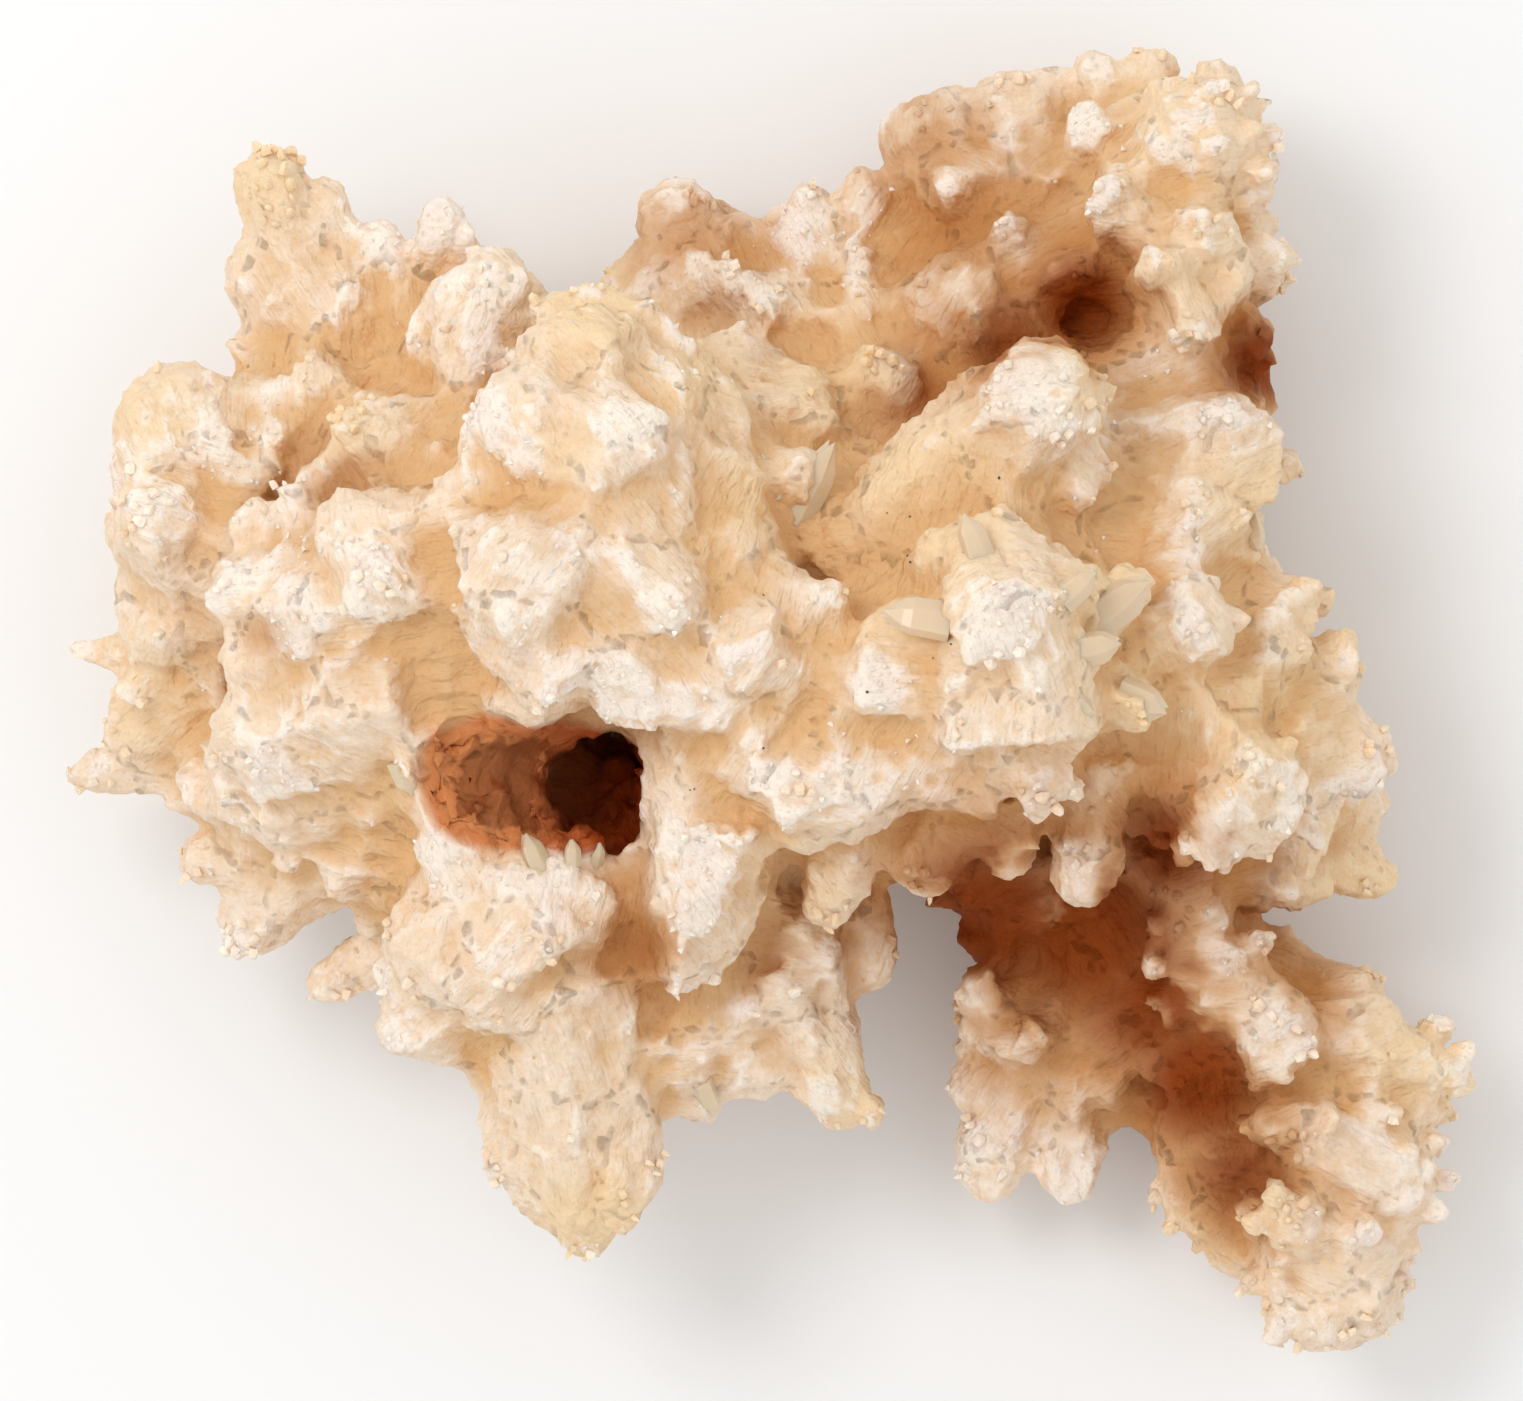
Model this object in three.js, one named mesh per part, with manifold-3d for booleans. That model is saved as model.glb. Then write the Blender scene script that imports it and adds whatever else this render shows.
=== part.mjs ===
// A cluster of dogtooth calcite, about 142 mm long: blunt six-sided crystals that radiate from a lumpy core,
// with a hollow between them and a broken base that is flat where the cluster rests.
//
// Millimetres, +Z up. The lists below give places in plan: x to the right, y away from the viewer who
// looks down on the cluster, z above the resting face. The finished cluster is moved at the end so that
// the middle of its base is the origin.
import * as THREE from "three";
import { mergeVertices } from "three/addons/utils/BufferGeometryUtils.js";
import Module from "manifold-3d";

const wasm = await Module();
wasm.setup();

// Driving dimensions
const clusterLength = 142; // along x, over the crystal tips
const clusterReach = 200; // a block this wide and high holds everything above the resting face
const crystalSides = 6;
const sharpEdge = 1.12; // alternate edges of a crystal stand out, as on a scalenohedron
const dullEdge = 0.9;
const mostLean = 0.35; // slant of a crystal's end, as a share of its width
const leanFrom = 0.6; // share of its length past which the end leans
const riderFrom = 12; // crystals this wide carry slimmer ones grown along their sides
const riderWidth = 0.55; // of the crystal that carries it
const riderOffset = 0.3; // from the axis of the crystal that carries it, as a share of its width
const riderPlaces = [0, 0.42]; // shares of a turn round that crystal
const coverShare = 0.42; // crystals over a lump of the core, for each millimetre of its three radii
const coverWidth = 0.34; // of the lump's mean radius, added to the least width
const leastCover = 2.6;
const coverRoot = 0.45; // shares of a lump's radius where the crystals over it start and end
const coverTip = 1.06;
const coverReach = 0.12; // how much further the longest of them ends
const goldenAngle = 2.399963; // turn from one of them to the next, which spaces them evenly
const finerFrom = 400; // lumps with a larger product of their radii in plan have more facets
const rockShare = 0.84; // of its radii, for the rock of a lump under the crystals that cover it
const rockDents = 0.09; // depth of the dents in a lump, as a share of its radii
const hollowDents = 0.2;
const mostFacets = 9750; // of the joined cluster, before its base is cut flat
const leastTurn = 0.25; // cosine of the most that a facet may turn when two corners are merged
const leastFacet = 1e-3; // square millimetres
const layerShare = 0.2; // of the edges, the most that are merged before the costs are worked out anew

// Profiles of a crystal from root to tip: share of its half width, share of its length
const forms = {
  blunt: [[0.92, 0], [0.9, 0.82]],
  tooth: [[1, 0], [0.78, 0.6]],
  spear: [[1, 0.2]],
  stub: [[1, 0], [0.78, 0.82]],
};

// The core: centre x, y, z, then its three radii
const core = {
  leftMass: [-31, 9, 33, 24, 22, 27],
  crown: [-15, 17, 45, 17, 18, 20],
  crownEdge: [-4, 19, 41, 9, 16, 17],
  ledge: [14, 1, 40, 19, 11, 18],
  star: [24, 6, 47, 12, 12, 16],
  rightShoulder: [38, 6, 28, 17, 18, 17],
  neck: [16, 27, 22, 22, 14, 16],
  upperRight: [37, 41, 18, 14, 15, 17],
  upperRightRoot: [25, 41, 18, 10, 9, 14],
  upperRightTop: [25, 51, 16, 11, 9, 13],
  upperRightEdge: [43, 54, 18, 9, 9, 13],
  backMatrix: [-7, 41, 16, 10, 9, 13],
  backRidge: [8, 43, 14, 10, 8, 12],
  upperLeft: [-43, 38, 26, 11, 10, 12],
  leftSaddle: [-50, 25, 30, 11, 8, 14],
  leftFlank: [-56, 16, 29, 9, 14, 15],
  lowerLeft: [-47, -7, 26, 13, 12, 16],
  lowerMiddle: [-26, -23, 30, 13, 14, 18],
  lowerRight: [-4, -23, 26, 12, 12, 15],
  armNeck: [27, -17, 19, 11, 9, 14],
  armShade: [42, -15, 19, 11, 9, 13],
  armRoot: [36, -23, 14, 14, 11, 14],
  armKnobs: [30, -34.5, 12, 10.5, 10, 11],
  armMiddle: [49, -33, 16, 12, 11, 13],
  armFork: [50, -46, 13, 9, 8, 11],
  armEnd: [58, -55, 15, 8, 9, 14],
  rightEdge: [52, -6, 24, 10, 14, 15],
  underLedge: [13, -11, 28, 13, 9, 14],
  pocketFloor: [-19, -10, 18, 15, 10, 12],
  lowerCore: [-11, -17, 23, 15, 10, 13],
  middleCore: [3, -11, 26, 11, 9, 14],
  rightCore: [43, 26, 18, 11, 9, 12],
  upperLeftCore: [-37, 28, 24, 12, 9, 12],
  backCore: [16, 39, 17, 10, 8, 12],
  leftEdge: [-57, 1, 24, 8, 9, 11],
  toothRoot: [-12, -31, 26, 12, 10, 12],
  upperLeftRidge: [-31, 38, 27, 9, 7, 10],
  armRight: [62, -42, 15, 7, 7, 9],
  footLeft: [-29, 9, 13, 21, 17, 13],
  foot: [-1, 9, 10, 27, 21, 14],
  footRight: [28, 5, 13, 17, 16, 13],
  heart: [0, 12, 26, 24, 14, 13],
  heartRight: [22, 20, 32, 12, 12, 10],
};

// Crystals, each with its root x, y, z, its tip x, y, z, its width and its form
const upperLeftArm = [
  [-46, 42, 26, -50.5, 56, 32, 8.5, "blunt"],
  [-42, 44, 27, -42, 51.5, 31, 5, "spear"],
  [-43, 40, 24, -53, 42, 26, 9, "stub"],
  [-44, 37, 22, -52, 35.5, 22, 7, "stub"],
  [-32.5, 42, 30, -32, 50, 36, 5.8, "tooth"],
  [-38, 38, 27, -37, 47, 32, 8, "stub"],
  [-26, 34, 36, -26.5, 44.5, 44, 11, "blunt"],
  [-21.5, 35, 36, -21, 42.5, 40, 6, "tooth"],
  [-31, 33, 34, -36, 37, 42, 8, "stub"],
];
const leftFlank = [
  [-52, 14, 26, -62.5, 30, 44, 11, "blunt"],
  [-54, 14, 28, -60.5, 29, 42, 12, "blunt"],
  [-55, 8, 28, -61, 21, 48, 11, "blunt"],
  [-56, 6, 24, -64, 20, 38, 9, "blunt"],
  [-48, 28, 30, -50, 31, 40, 10, "stub"],
  [-56, 4, 24, -62, 11, 36, 8, "stub"],
  [-42, 30, 32, -45, 32, 42, 10, "stub"],
  [-58, 5, 26, -68.5, 5.5, 24, 6, "tooth"],
  [-57, -5, 24, -69.8, -8, 20, 5, "blunt"],
  [-56, -1, 26, -66.5, -4.5, 26, 7.5, "tooth"],
  [-56, 3, 28, -62, 3.5, 32, 8, "stub"],
];
const lowerLeft = [
  [-48, -14, 22, -57.3, -13.5, 18, 7.5, "tooth"],
  [-46, -14, 22, -52, -24.6, 18, 8, "blunt"],
  [-45, -15, 22, -48.8, -24.4, 20, 5, "stub"],
  [-44, -16, 24, -44.6, -21.5, 24, 4, "tooth"],
  [-36, -18, 18, -44, -29.2, 14, 8, "tooth"],
  [-34, 0, 50, -55, -5, 43, 13, "blunt"],
  [-34, -6, 44, -52, -13, 33, 11, "blunt"],
  [-34, -9, 40, -43, -19, 30, 11, "stub"],
  [-38, -7, 42, -36.5, -15.5, 44, 5, "spear"],
  [-35, -2, 50, -34.8, -9.3, 53, 2.8, "spear"],
];
const leftMass = [
  [-42, 13, 50, -55.4, 10, 51, 8.5, "blunt"],
  [-42, 7, 50, -54.4, 2, 48, 9, "blunt"],
  [-36, 17, 54, -36.5, 7.8, 61, 11, "blunt"],
  [-33, 16, 54, -44.5, 17.5, 56, 9.5, "blunt"],
  [-46, 14, 46, -53.5, 18.5, 48, 7.5, "stub"],
  [-44, 10, 48, -47, 8, 58, 11, "stub"],
  [-40, 2, 46, -45, -1, 54, 12, "stub"],
  [-32, 23, 44, -43.4, 27, 50, 8.5, "tooth"],
  [-33, 26, 44, -39.4, 31, 46, 6.5, "tooth"],
  [-34, 22, 44, -39, 21.5, 52, 6, "spear"],
  [-30, 24, 46, -33, 23, 53, 7, "stub"],
];
const crown = [
  [-17, 22, 56, -26.5, 31.5, 63, 13, "blunt"],
  [-16, 24, 56, -17.5, 39.5, 56, 14.5, "blunt"],
  [-12, 22, 54, -8.5, 34.5, 55, 12, "blunt"],
  [-10, 14, 56, -3.5, 27, 53, 11, "blunt"],
  [-8, 8, 56, -1, 15, 57, 11, "blunt"],
  [-16, 24, 58, -15.5, 27, 68, 15, "stub"],
  [-20, 7, 50, -24.6, 15, 71, 16, "blunt"],
  [-16, 10, 56, -10.5, -3.2, 61, 10.5, "blunt"],
  [-20, 10, 56, -17.5, -1.8, 60, 9.5, "stub"],
  [-24, 11, 56, -25, 3.2, 61, 10, "stub"],
  [-26, 16, 56, -33, 21, 61, 9, "stub"],
  [-8, 12, 56, -10.5, 9, 68, 11, "stub"],
  [-14, 14, 58, -15.5, 12, 68, 10, "stub"],
];
const crownToLedge = [
  [-2, 10, 54, -1.5, 1, 63, 11.5, "blunt"],
  [-2, 8, 54, 5.3, 12, 57, 9, "stub"],
  [2, 6, 50, 9.4, 9, 54, 8.5, "blunt"],
  [2, 3, 52, 4.5, 3, 60, 9, "stub"],
];
const centralLedge = [
  [20, 2, 56, 7, 3, 58, 11, "blunt"],
  [24, 5, 48, 23.5, 11, 69, 14, "blunt"],
  [18, 6, 56, 9.9, 8.2, 60, 6.5, "spear"],
  [24, 8, 54, 22.5, 18, 61, 10.5, "blunt"],
  [17, 10, 52, 16.5, 18, 57, 7.5, "tooth"],
  [26, 8, 54, 32.5, 12, 61, 9.5, "stub"],
  [24, 6, 54, 31.5, 0, 61, 11, "blunt"],
  [23, 4, 54, 19.5, -6, 60, 10.5, "stub"],
  [24, 0, 54, 25, -10, 57, 10.5, "blunt"],
  [29, 5, 49, 39, 13.2, 56, 6.5, "spear"],
  [34, 4, 44, 46.5, 9.8, 49, 10.5, "blunt"],
  [30, 2, 50, 40.5, -1.5, 53, 9, "blunt"],
  [34, 2, 42, 46.5, 0.8, 42, 8, "tooth"],
];
const ledgeTeeth = [
  [12, -4, 54, -0.5, -12.6, 57, 11, "blunt"],
  [11, -12, 42, 5.3, -22, 45, 8, "blunt"],
  [17, -10, 42, 14.8, -18.8, 42, 9.5, "blunt"],
  [18, -14, 32, 20, -19.5, 32, 5.5, "stub"],
  [23, -9, 44, 25.2, -18, 45, 8.5, "blunt"],
  [33, -1, 36, 32.5, -20.5, 46, 8, "blunt"],
  [31, -2, 38, 37, -10, 47, 8, "stub"],
  [-5, -8, 44, -8, -29.8, 46, 16, "tooth"],
  [0, -4, 48, -3, -9, 56, 9, "stub"],
];
const upperMiddle = [
  [17, 20, 42, 31.5, 34.5, 55, 14, "blunt"],
  [29, 25, 42, 34.5, 33, 48, 6, "stub"],
  [24, 20, 44, 34.5, 23, 50, 9, "blunt"],
  [18, 22, 42, 10.5, 12.5, 49, 10, "blunt"],
  [4, 16, 38, 4, 24.8, 52, 7.5, "stub"],
  [0, 27, 32, -4.5, 35.5, 41, 11, "blunt"],
  [4, 27, 32, 2.5, 32, 40, 10, "stub"],
  [11, 27, 26, 11, 35, 37, 9, "stub"],
  [-2, 36, 20, 0.5, 43, 31, 9.5, "stub"],
  [4, 26, 34, 4.5, 28, 44, 8, "stub"],
  [7, 36, 20, 9, 38.5, 30, 7, "stub"],
];
const backMatrix = [
  [-6, 42, 12, -8, 51.4, 18, 10, "stub"],
  [-12, 40, 12, -16.8, 41.5, 15, 5.5, "stub"],
  [6, 43, 14, 3.5, 50.5, 20, 8.5, "stub"],
  [-2, 44, 12, -2, 47, 21, 8, "stub"],
  [9, 45, 14, 10, 51, 19, 7, "stub"],
];
const upperRight = [
  [19, 50, 16, 13.3, 59.5, 20, 10, "stub"],
  [22, 52, 16, 20, 61.8, 20, 10, "stub"],
  [28, 54, 16, 27.5, 61.5, 18, 9, "stub"],
  [32, 55, 17, 33.8, 65, 19, 5.8, "tooth"],
  [38, 55, 18, 39.2, 65.6, 19, 6, "tooth"],
  [41, 48, 22, 46, 62, 32, 14, "blunt"],
  [46, 52, 20, 51.6, 54.2, 22, 5, "spear"],
  [40, 54, 22, 33.5, 47.8, 40, 7.2, "blunt"],
  [34, 53, 20, 32.5, 58.5, 31, 7.5, "stub"],
  [44, 45, 24, 43.5, 48.5, 42, 8, "stub"],
  [44, 41, 26, 37.5, 43.8, 44, 6.6, "blunt"],
  [43, 43, 26, 43, 35.4, 42, 6.6, "blunt"],
  [45, 42, 24, 48, 43, 38, 9, "stub"],
  [46, 43, 16, 53.3, 43.3, 16, 8, "stub"],
  [46, 48, 16, 51.6, 48.5, 18, 7, "stub"],
  [45, 34, 14, 51.6, 33.5, 14, 9, "stub"],
  [46, 38, 14, 52, 38, 12, 6, "spear"],
  [26, 46, 24, 25, 47.5, 34, 5, "stub"],
  [30, 44, 24, 30.5, 42.5, 34, 6, "stub"],
  [20, 38, 22, 20.5, 41, 34, 14, "stub"],
  [25, 36, 22, 24, 37, 33, 10, "stub"],
  [15, 46, 16, 13, 47, 24, 6, "tooth"],
  [20, 50, 20, 19, 52, 29, 7, "stub"],
];
const rightShoulder = [
  [36, 20, 32, 52.3, 27, 38, 13, "blunt"],
  [34, 17, 34, 47.5, 19, 42, 12, "blunt"],
  [36, 14, 36, 44, 13, 45, 9.5, "stub"],
  [46, 14, 26, 51, 19, 28, 6, "tooth"],
  [46, 8, 30, 56.3, 9.5, 35, 9, "blunt"],
  [49, 2, 28, 58.6, 1.8, 28, 9.5, "blunt"],
  [53, -1, 26, 63.8, -6.2, 28, 8, "blunt"],
  [41, -3, 36, 52.5, -13, 47, 15.5, "blunt"],
  [42, 1, 36, 50, 0, 42, 9, "stub"],
  [54, -10, 24, 62.6, -12, 24, 5.8, "stub"],
  [53, -15, 22, 64.2, -18.2, 22, 7, "blunt"],
  [48, -16, 24, 55, -19.2, 28, 7, "stub"],
];
const arm = [
  [38, -18, 22, 46, -22, 32, 9, "blunt"],
  [45, -28, 22, 39, -23.8, 30, 5.4, "tooth"],
  [46, -29, 22, 38.2, -30.4, 28, 6.2, "tooth"],
  [43, -26, 20, 48.5, -30, 32, 9, "stub"],
  [48, -29, 22, 53, -37, 32, 10, "blunt"],
  [53, -29, 16, 63.5, -30.5, 21, 8.5, "blunt"],
  [58, -34, 18, 72, -37.8, 20, 8.5, "tooth"],
  [60, -36, 18, 66, -42.8, 20, 7.5, "stub"],
  [55, -33, 18, 63.5, -36, 26, 9, "stub"],
  [64, -47, 20, 48, -41.8, 29, 8.5, "tooth"],
  [61, -45, 16, 68.4, -48.8, 18, 8, "blunt"],
  [57, -41, 18, 63, -42, 25, 8, "stub"],
  [56, -50, 16, 58, -66, 18, 14.5, "blunt"],
  [57, -52, 18, 63, -58, 24, 10, "stub"],
  [55, -50, 20, 53, -53, 30, 9, "stub"],
  [42, -38, 12, 45, -54, 15, 9.5, "blunt"],
  [46, -48, 12, 50, -56, 14, 8, "stub"],
  [27, -36, 10, 23.2, -50, 11, 7.6, "stub"],
  [29, -36, 10, 31, -50, 11, 8, "stub"],
  [32, -43, 16, 31.8, -37.5, 22, 4.6, "spear"],
  [24, -34, 14, 22, -27.5, 25, 7, "stub"],
  [27, -35, 18, 27, -32.5, 28, 6, "stub"],
  [43, -40, 18, 42.5, -37.5, 26, 4.8, "stub"],
  [22, -31, 12, 17.8, -30, 13, 3.8, "spear"],
  [22, -34, 12, 18.4, -34.6, 12, 3.8, "spear"],
  [22, -37, 12, 17.5, -39.4, 12, 4.6, "tooth"],
  [36, -32, 16, 34, -34, 24, 8, "stub"],
];
const lowerMass = [
  [-26, -20, 42, -35, -29.5, 45, 14, "blunt"],
  [-22, -20, 42, -28.5, -33.5, 43, 12, "blunt"],
  [-22, -18, 42, -14.2, -20.5, 46, 9, "stub"],
  [-28, -16, 42, -29.2, -7.5, 51, 9.5, "blunt"],
  [-24, -17, 42, -23, -10.5, 47, 5.5, "tooth"],
  [-18.5, -17.5, 42, -17.4, -12.3, 49, 4.2, "spear"],
  [-15, -18, 42, -12.6, -13.8, 48, 4.4, "spear"],
  [-20, -26, 32, -17.6, -55.8, 32, 17.5, "tooth"],
  [-27, -30, 32, -26, -43.5, 31, 8, "tooth"],
  [-28, -30, 34, -31.6, -37.4, 35, 7, "stub"],
  [-12, -32, 22, -11.5, -43, 19, 9, "stub"],
  [-5, -25, 32, -9, -38, 33, 11, "stub"],
  [-6, -34, 28, -3.7, -42.4, 27, 4.5, "tooth"],
  [-7, -34, 28, -7.2, -39.6, 28, 3.6, "spear"],
  [2, -26, 28, 9.6, -43, 24, 12.5, "tooth"],
  [4, -20, 30, 7.5, -31, 31, 7, "blunt"],
  [8, -18, 24, 11.8, -27, 19, 9, "stub"],
  [-20, -24, 40, -18, -31, 46, 10, "stub"],
];

// Hollows: centre x, y, z, then radii. The first is the dark pocket beside the crown.
const hollows = [
  [-17, -8.5, 50, 7.5, 6, 24],
  [-22, -8, 44, 6, 4.5, 12],
  [31.5, 39, 32, 5, 4, 11],
  [17, 31, 36, 3.2, 2.6, 12],
];

// A repeatable run of numbers from 0 to 1, so that the cluster is the same each time
function dice(seed) {
  let state = seed;
  return () => {
    state = (state * 1664525 + 1013904223) % 4294967296;
    return state / 4294967296;
  };
}

// A closed geometry as a solid that can be joined and cut
function toSolid(geometry) {
  geometry.deleteAttribute("normal");
  geometry.deleteAttribute("uv");
  const merged = mergeVertices(geometry, 1e-4);
  const kept = [];
  for (let i = 0; i < merged.index.count; i += 3) {
    const [a, b, c] = [0, 1, 2].map((k) => merged.index.getX(i + k));
    if (a !== b && b !== c && c !== a) kept.push(a, b, c);
  }
  return new wasm.Manifold(new wasm.Mesh({
    numProp: 3,
    vertProperties: merged.attributes.position.array,
    triVerts: new Uint32Array(kept),
  }));
}

// One lump of the core, or one hollow: a ball stretched to its radii, with dents
function lump([x, y, z, rx, ry, rz], dents, random) {
  const ball = new THREE.IcosahedronGeometry(1, rx * ry > finerFrom ? 2 : 1);
  const place = ball.attributes.position;
  const point = new THREE.Vector3();
  const turn = random() * Math.PI * 2;
  for (let i = 0; i < place.count; i++) {
    point.fromBufferAttribute(place, i);
    const wave = Math.sin(8.3 * point.x + turn) * Math.sin(7.7 * point.y - turn) * Math.cos(9.1 * point.z);
    point.multiplyScalar(1 + dents * wave).multiply(new THREE.Vector3(rx, ry, rz));
    place.setXYZ(i, x + point.x, y + point.y, z + point.z);
  }
  return toSolid(ball);
}

// One crystal from root to tip, turned about its own axis by chance
function crystal(root, tip, width, form, random) {
  const axis = tip.clone().sub(root);
  const length = axis.length();
  const profile = forms[form].map(([r, h]) => new THREE.Vector2((r * width) / 2, h * length));
  profile.unshift(new THREE.Vector2(0, 0));
  profile.push(new THREE.Vector2(0, length));
  const shape = new THREE.LatheGeometry(profile, crystalSides);
  const place = shape.attributes.position;
  const lean = (random() - 0.5) * mostLean;
  for (let i = 0; i < place.count; i++) {
    const [px, py, pz] = [place.getX(i), place.getY(i), place.getZ(i)];
    const edge = Math.round((Math.atan2(px, pz) / Math.PI) * (crystalSides / 2)) % 2 ? sharpEdge : dullEdge;
    const nearTip = Math.max(0, py / length - leanFrom) * lean;
    place.setXYZ(i, px * edge + nearTip * width, py + px * nearTip, pz * edge);
  }
  const turned = new THREE.Quaternion().setFromAxisAngle(new THREE.Vector3(0, 1, 0), random() * Math.PI);
  const aimed = new THREE.Quaternion().setFromUnitVectors(new THREE.Vector3(0, 1, 0), axis.normalize());
  shape.applyQuaternion(turned).applyQuaternion(aimed).translate(root.x, root.y, root.z);
  return toSolid(shape);
}

// A listed crystal, with slimmer crystals along the sides of a wide one
function grow([rx, ry, rz, tx, ty, tz, width, form], random) {
  const root = new THREE.Vector3(rx, ry, rz);
  const tip = new THREE.Vector3(tx, ty, tz);
  const made = [crystal(root, tip, width, form, random)];
  if (width < riderFrom) return made;
  const axis = tip.clone().sub(root).normalize();
  const side = new THREE.Vector3(axis.z, axis.x, -axis.y).cross(axis).normalize();
  const start = random() * Math.PI * 2;
  for (const share of riderPlaces) {
    const out = side.clone().applyAxisAngle(axis, start + share * Math.PI * 2);
    out.multiplyScalar(width * riderOffset);
    const end = root.clone().lerp(tip, 0.8 + 0.16 * random()).add(out);
    made.push(crystal(root.clone().add(out), end, width * riderWidth, "stub", random));
  }
  return made;
}

// Crystals that stand all over one lump of the core, its sides and underside too
function cover([x, y, z, rx, ry, rz], random) {
  const count = Math.round((rx + ry + rz) * coverShare);
  const width = leastCover + (coverWidth * (rx + ry + rz)) / 3;
  const made = [];
  for (let i = 0; i < count; i++) {
    const rise = 1 - (2 * (i + random())) / count;
    const round = i * goldenAngle + random();
    const flat = Math.sqrt(Math.max(0, 1 - rise * rise));
    const out = new THREE.Vector3(flat * Math.cos(round) * rx, flat * Math.sin(round) * ry, rise * rz);
    const middle = new THREE.Vector3(x, y, z);
    const root = middle.clone().addScaledVector(out, coverRoot);
    const tip = middle.clone().addScaledVector(out, coverTip + coverReach * random());
    made.push(crystal(root, tip, width * (0.75 + 0.5 * random()), i % 3 ? "blunt" : "spear", random));
  }
  return made;
}

// The largest piece of a solid, without the sealed voids that crossing crystals leave inside it
function outerBody(solid) {
  return solid.decompose().reduce((best, one) => (one.volume() > best.volume() ? one : best));
}

// The planes through the facets round one corner, summed as an error that a moved corner has
function errorAt(planes, point) {
  let sum = 0;
  for (const [normal, offset, area] of planes) sum += area * (normal.dot(point) - offset) ** 2;
  return sum;
}

// Merges the corners that matter least, a layer at a time, until the solid has few enough facets
function thinOut(solid, most) {
  const { vertProperties, triVerts, numProp } = solid.getMesh();
  const points = [];
  for (let i = 0; i < vertProperties.length; i += numProp) {
    points.push(new THREE.Vector3(...vertProperties.subarray(i, i + 3)));
  }
  let facets = [];
  for (let i = 0; i < triVerts.length; i += 3) facets.push([...triVerts.subarray(i, i + 3)]);
  const triangle = new THREE.Triangle();
  const normalOf = (corners) => triangle.set(...corners).getNormal(new THREE.Vector3());
  const areaOf = (corners) => triangle.set(...corners).getArea();
  while (facets.length > most) {
    const round = points.map(() => []);
    const planes = points.map(() => []);
    for (const facet of facets) {
      const corners = facet.map((v) => points[v]);
      const normal = normalOf(corners);
      const plane = [normal, normal.dot(corners[0]), areaOf(corners)];
      for (const v of facet) {
        round[v].push(facet);
        planes[v].push(plane);
      }
    }
    const choices = [];
    for (const [a, b, c] of facets) {
      for (const [from, to] of [[a, b], [b, c], [c, a]]) {
        if (from > to) continue;
        const middle = points[from].clone().lerp(points[to], 0.5);
        const both = [...planes[from], ...planes[to]];
        const spots = [points[from], points[to], middle].map((spot) => [errorAt(both, spot), spot]);
        const [cost, spot] = spots.reduce((best, one) => (one[0] < best[0] ? one : best));
        choices.push([cost + 1e-4 * points[from].distanceToSquared(points[to]), from, to, spot.clone()]);
      }
    }
    choices.sort((one, other) => one[0] - other[0]);
    const layer = Math.min(choices.length * layerShare, (facets.length - most) / 2 + 1);
    const touched = new Set();
    let merged = 0;
    for (const [, from, to, spot] of choices) {
      if (merged >= layer) break;
      const near = new Set(round[from].flat());
      const shared = [...new Set(round[to].flat())].filter((v) => near.has(v) && v !== from && v !== to);
      const moving = [...round[from], ...round[to]].filter((f) => !(f.includes(from) && f.includes(to)));
      if (shared.length !== 2 || moving.flat().some((v) => touched.has(v))) continue;
      const turned = moving.some((facet) => {
        const after = facet.map((v) => (v === from || v === to ? spot : points[v]));
        const before = normalOf(facet.map((v) => points[v]));
        return areaOf(after) < leastFacet || before.dot(normalOf(after)) < leastTurn;
      });
      if (turned) continue;
      moving.flat().forEach((v) => touched.add(v));
      points[from].copy(spot);
      for (const facet of round[to]) facet[facet.indexOf(to)] = from;
      merged += 1;
    }
    if (!merged) break;
    facets = facets.filter(([a, b, c]) => a !== b && b !== c && c !== a);
  }
  return new wasm.Manifold(new wasm.Mesh({
    numProp: 3,
    vertProperties: new Float32Array(points.flatMap((one) => one.toArray())),
    triVerts: new Uint32Array(facets.flat()),
  }));
}

// The whole cluster: core, hollows, crystals, and the flat broken base
function buildCluster() {
  const random = dice(7);
  const lumps = Object.values(core);
  const rock = lumps.map(([x, y, z, ...radii]) => {
    return lump([x, y, z, ...radii.map((r) => r * rockShare)], rockDents, random);
  });
  const grown = [
    upperLeftArm, leftFlank, lowerLeft, leftMass, crown, crownToLedge, centralLedge,
    ledgeTeeth, upperMiddle, backMatrix, upperRight, rightShoulder, arm, lowerMass,
  ].flat().flatMap((row) => grow(row, random));
  const small = lumps.flatMap((one) => cover(one, random));
  const pockets = wasm.Manifold.union(hollows.map((one) => lump(one, hollowDents, random)));
  const body = wasm.Manifold.union([...rock, ...small]).subtract(pockets);
  const above = new THREE.BoxGeometry(clusterReach, clusterReach, clusterReach);
  above.translate(0, 0, clusterReach / 2);
  const whole = outerBody(wasm.Manifold.union([body, ...grown]));
  return outerBody(thinOut(whole, mostFacets).intersect(toSolid(above)));
}

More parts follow.
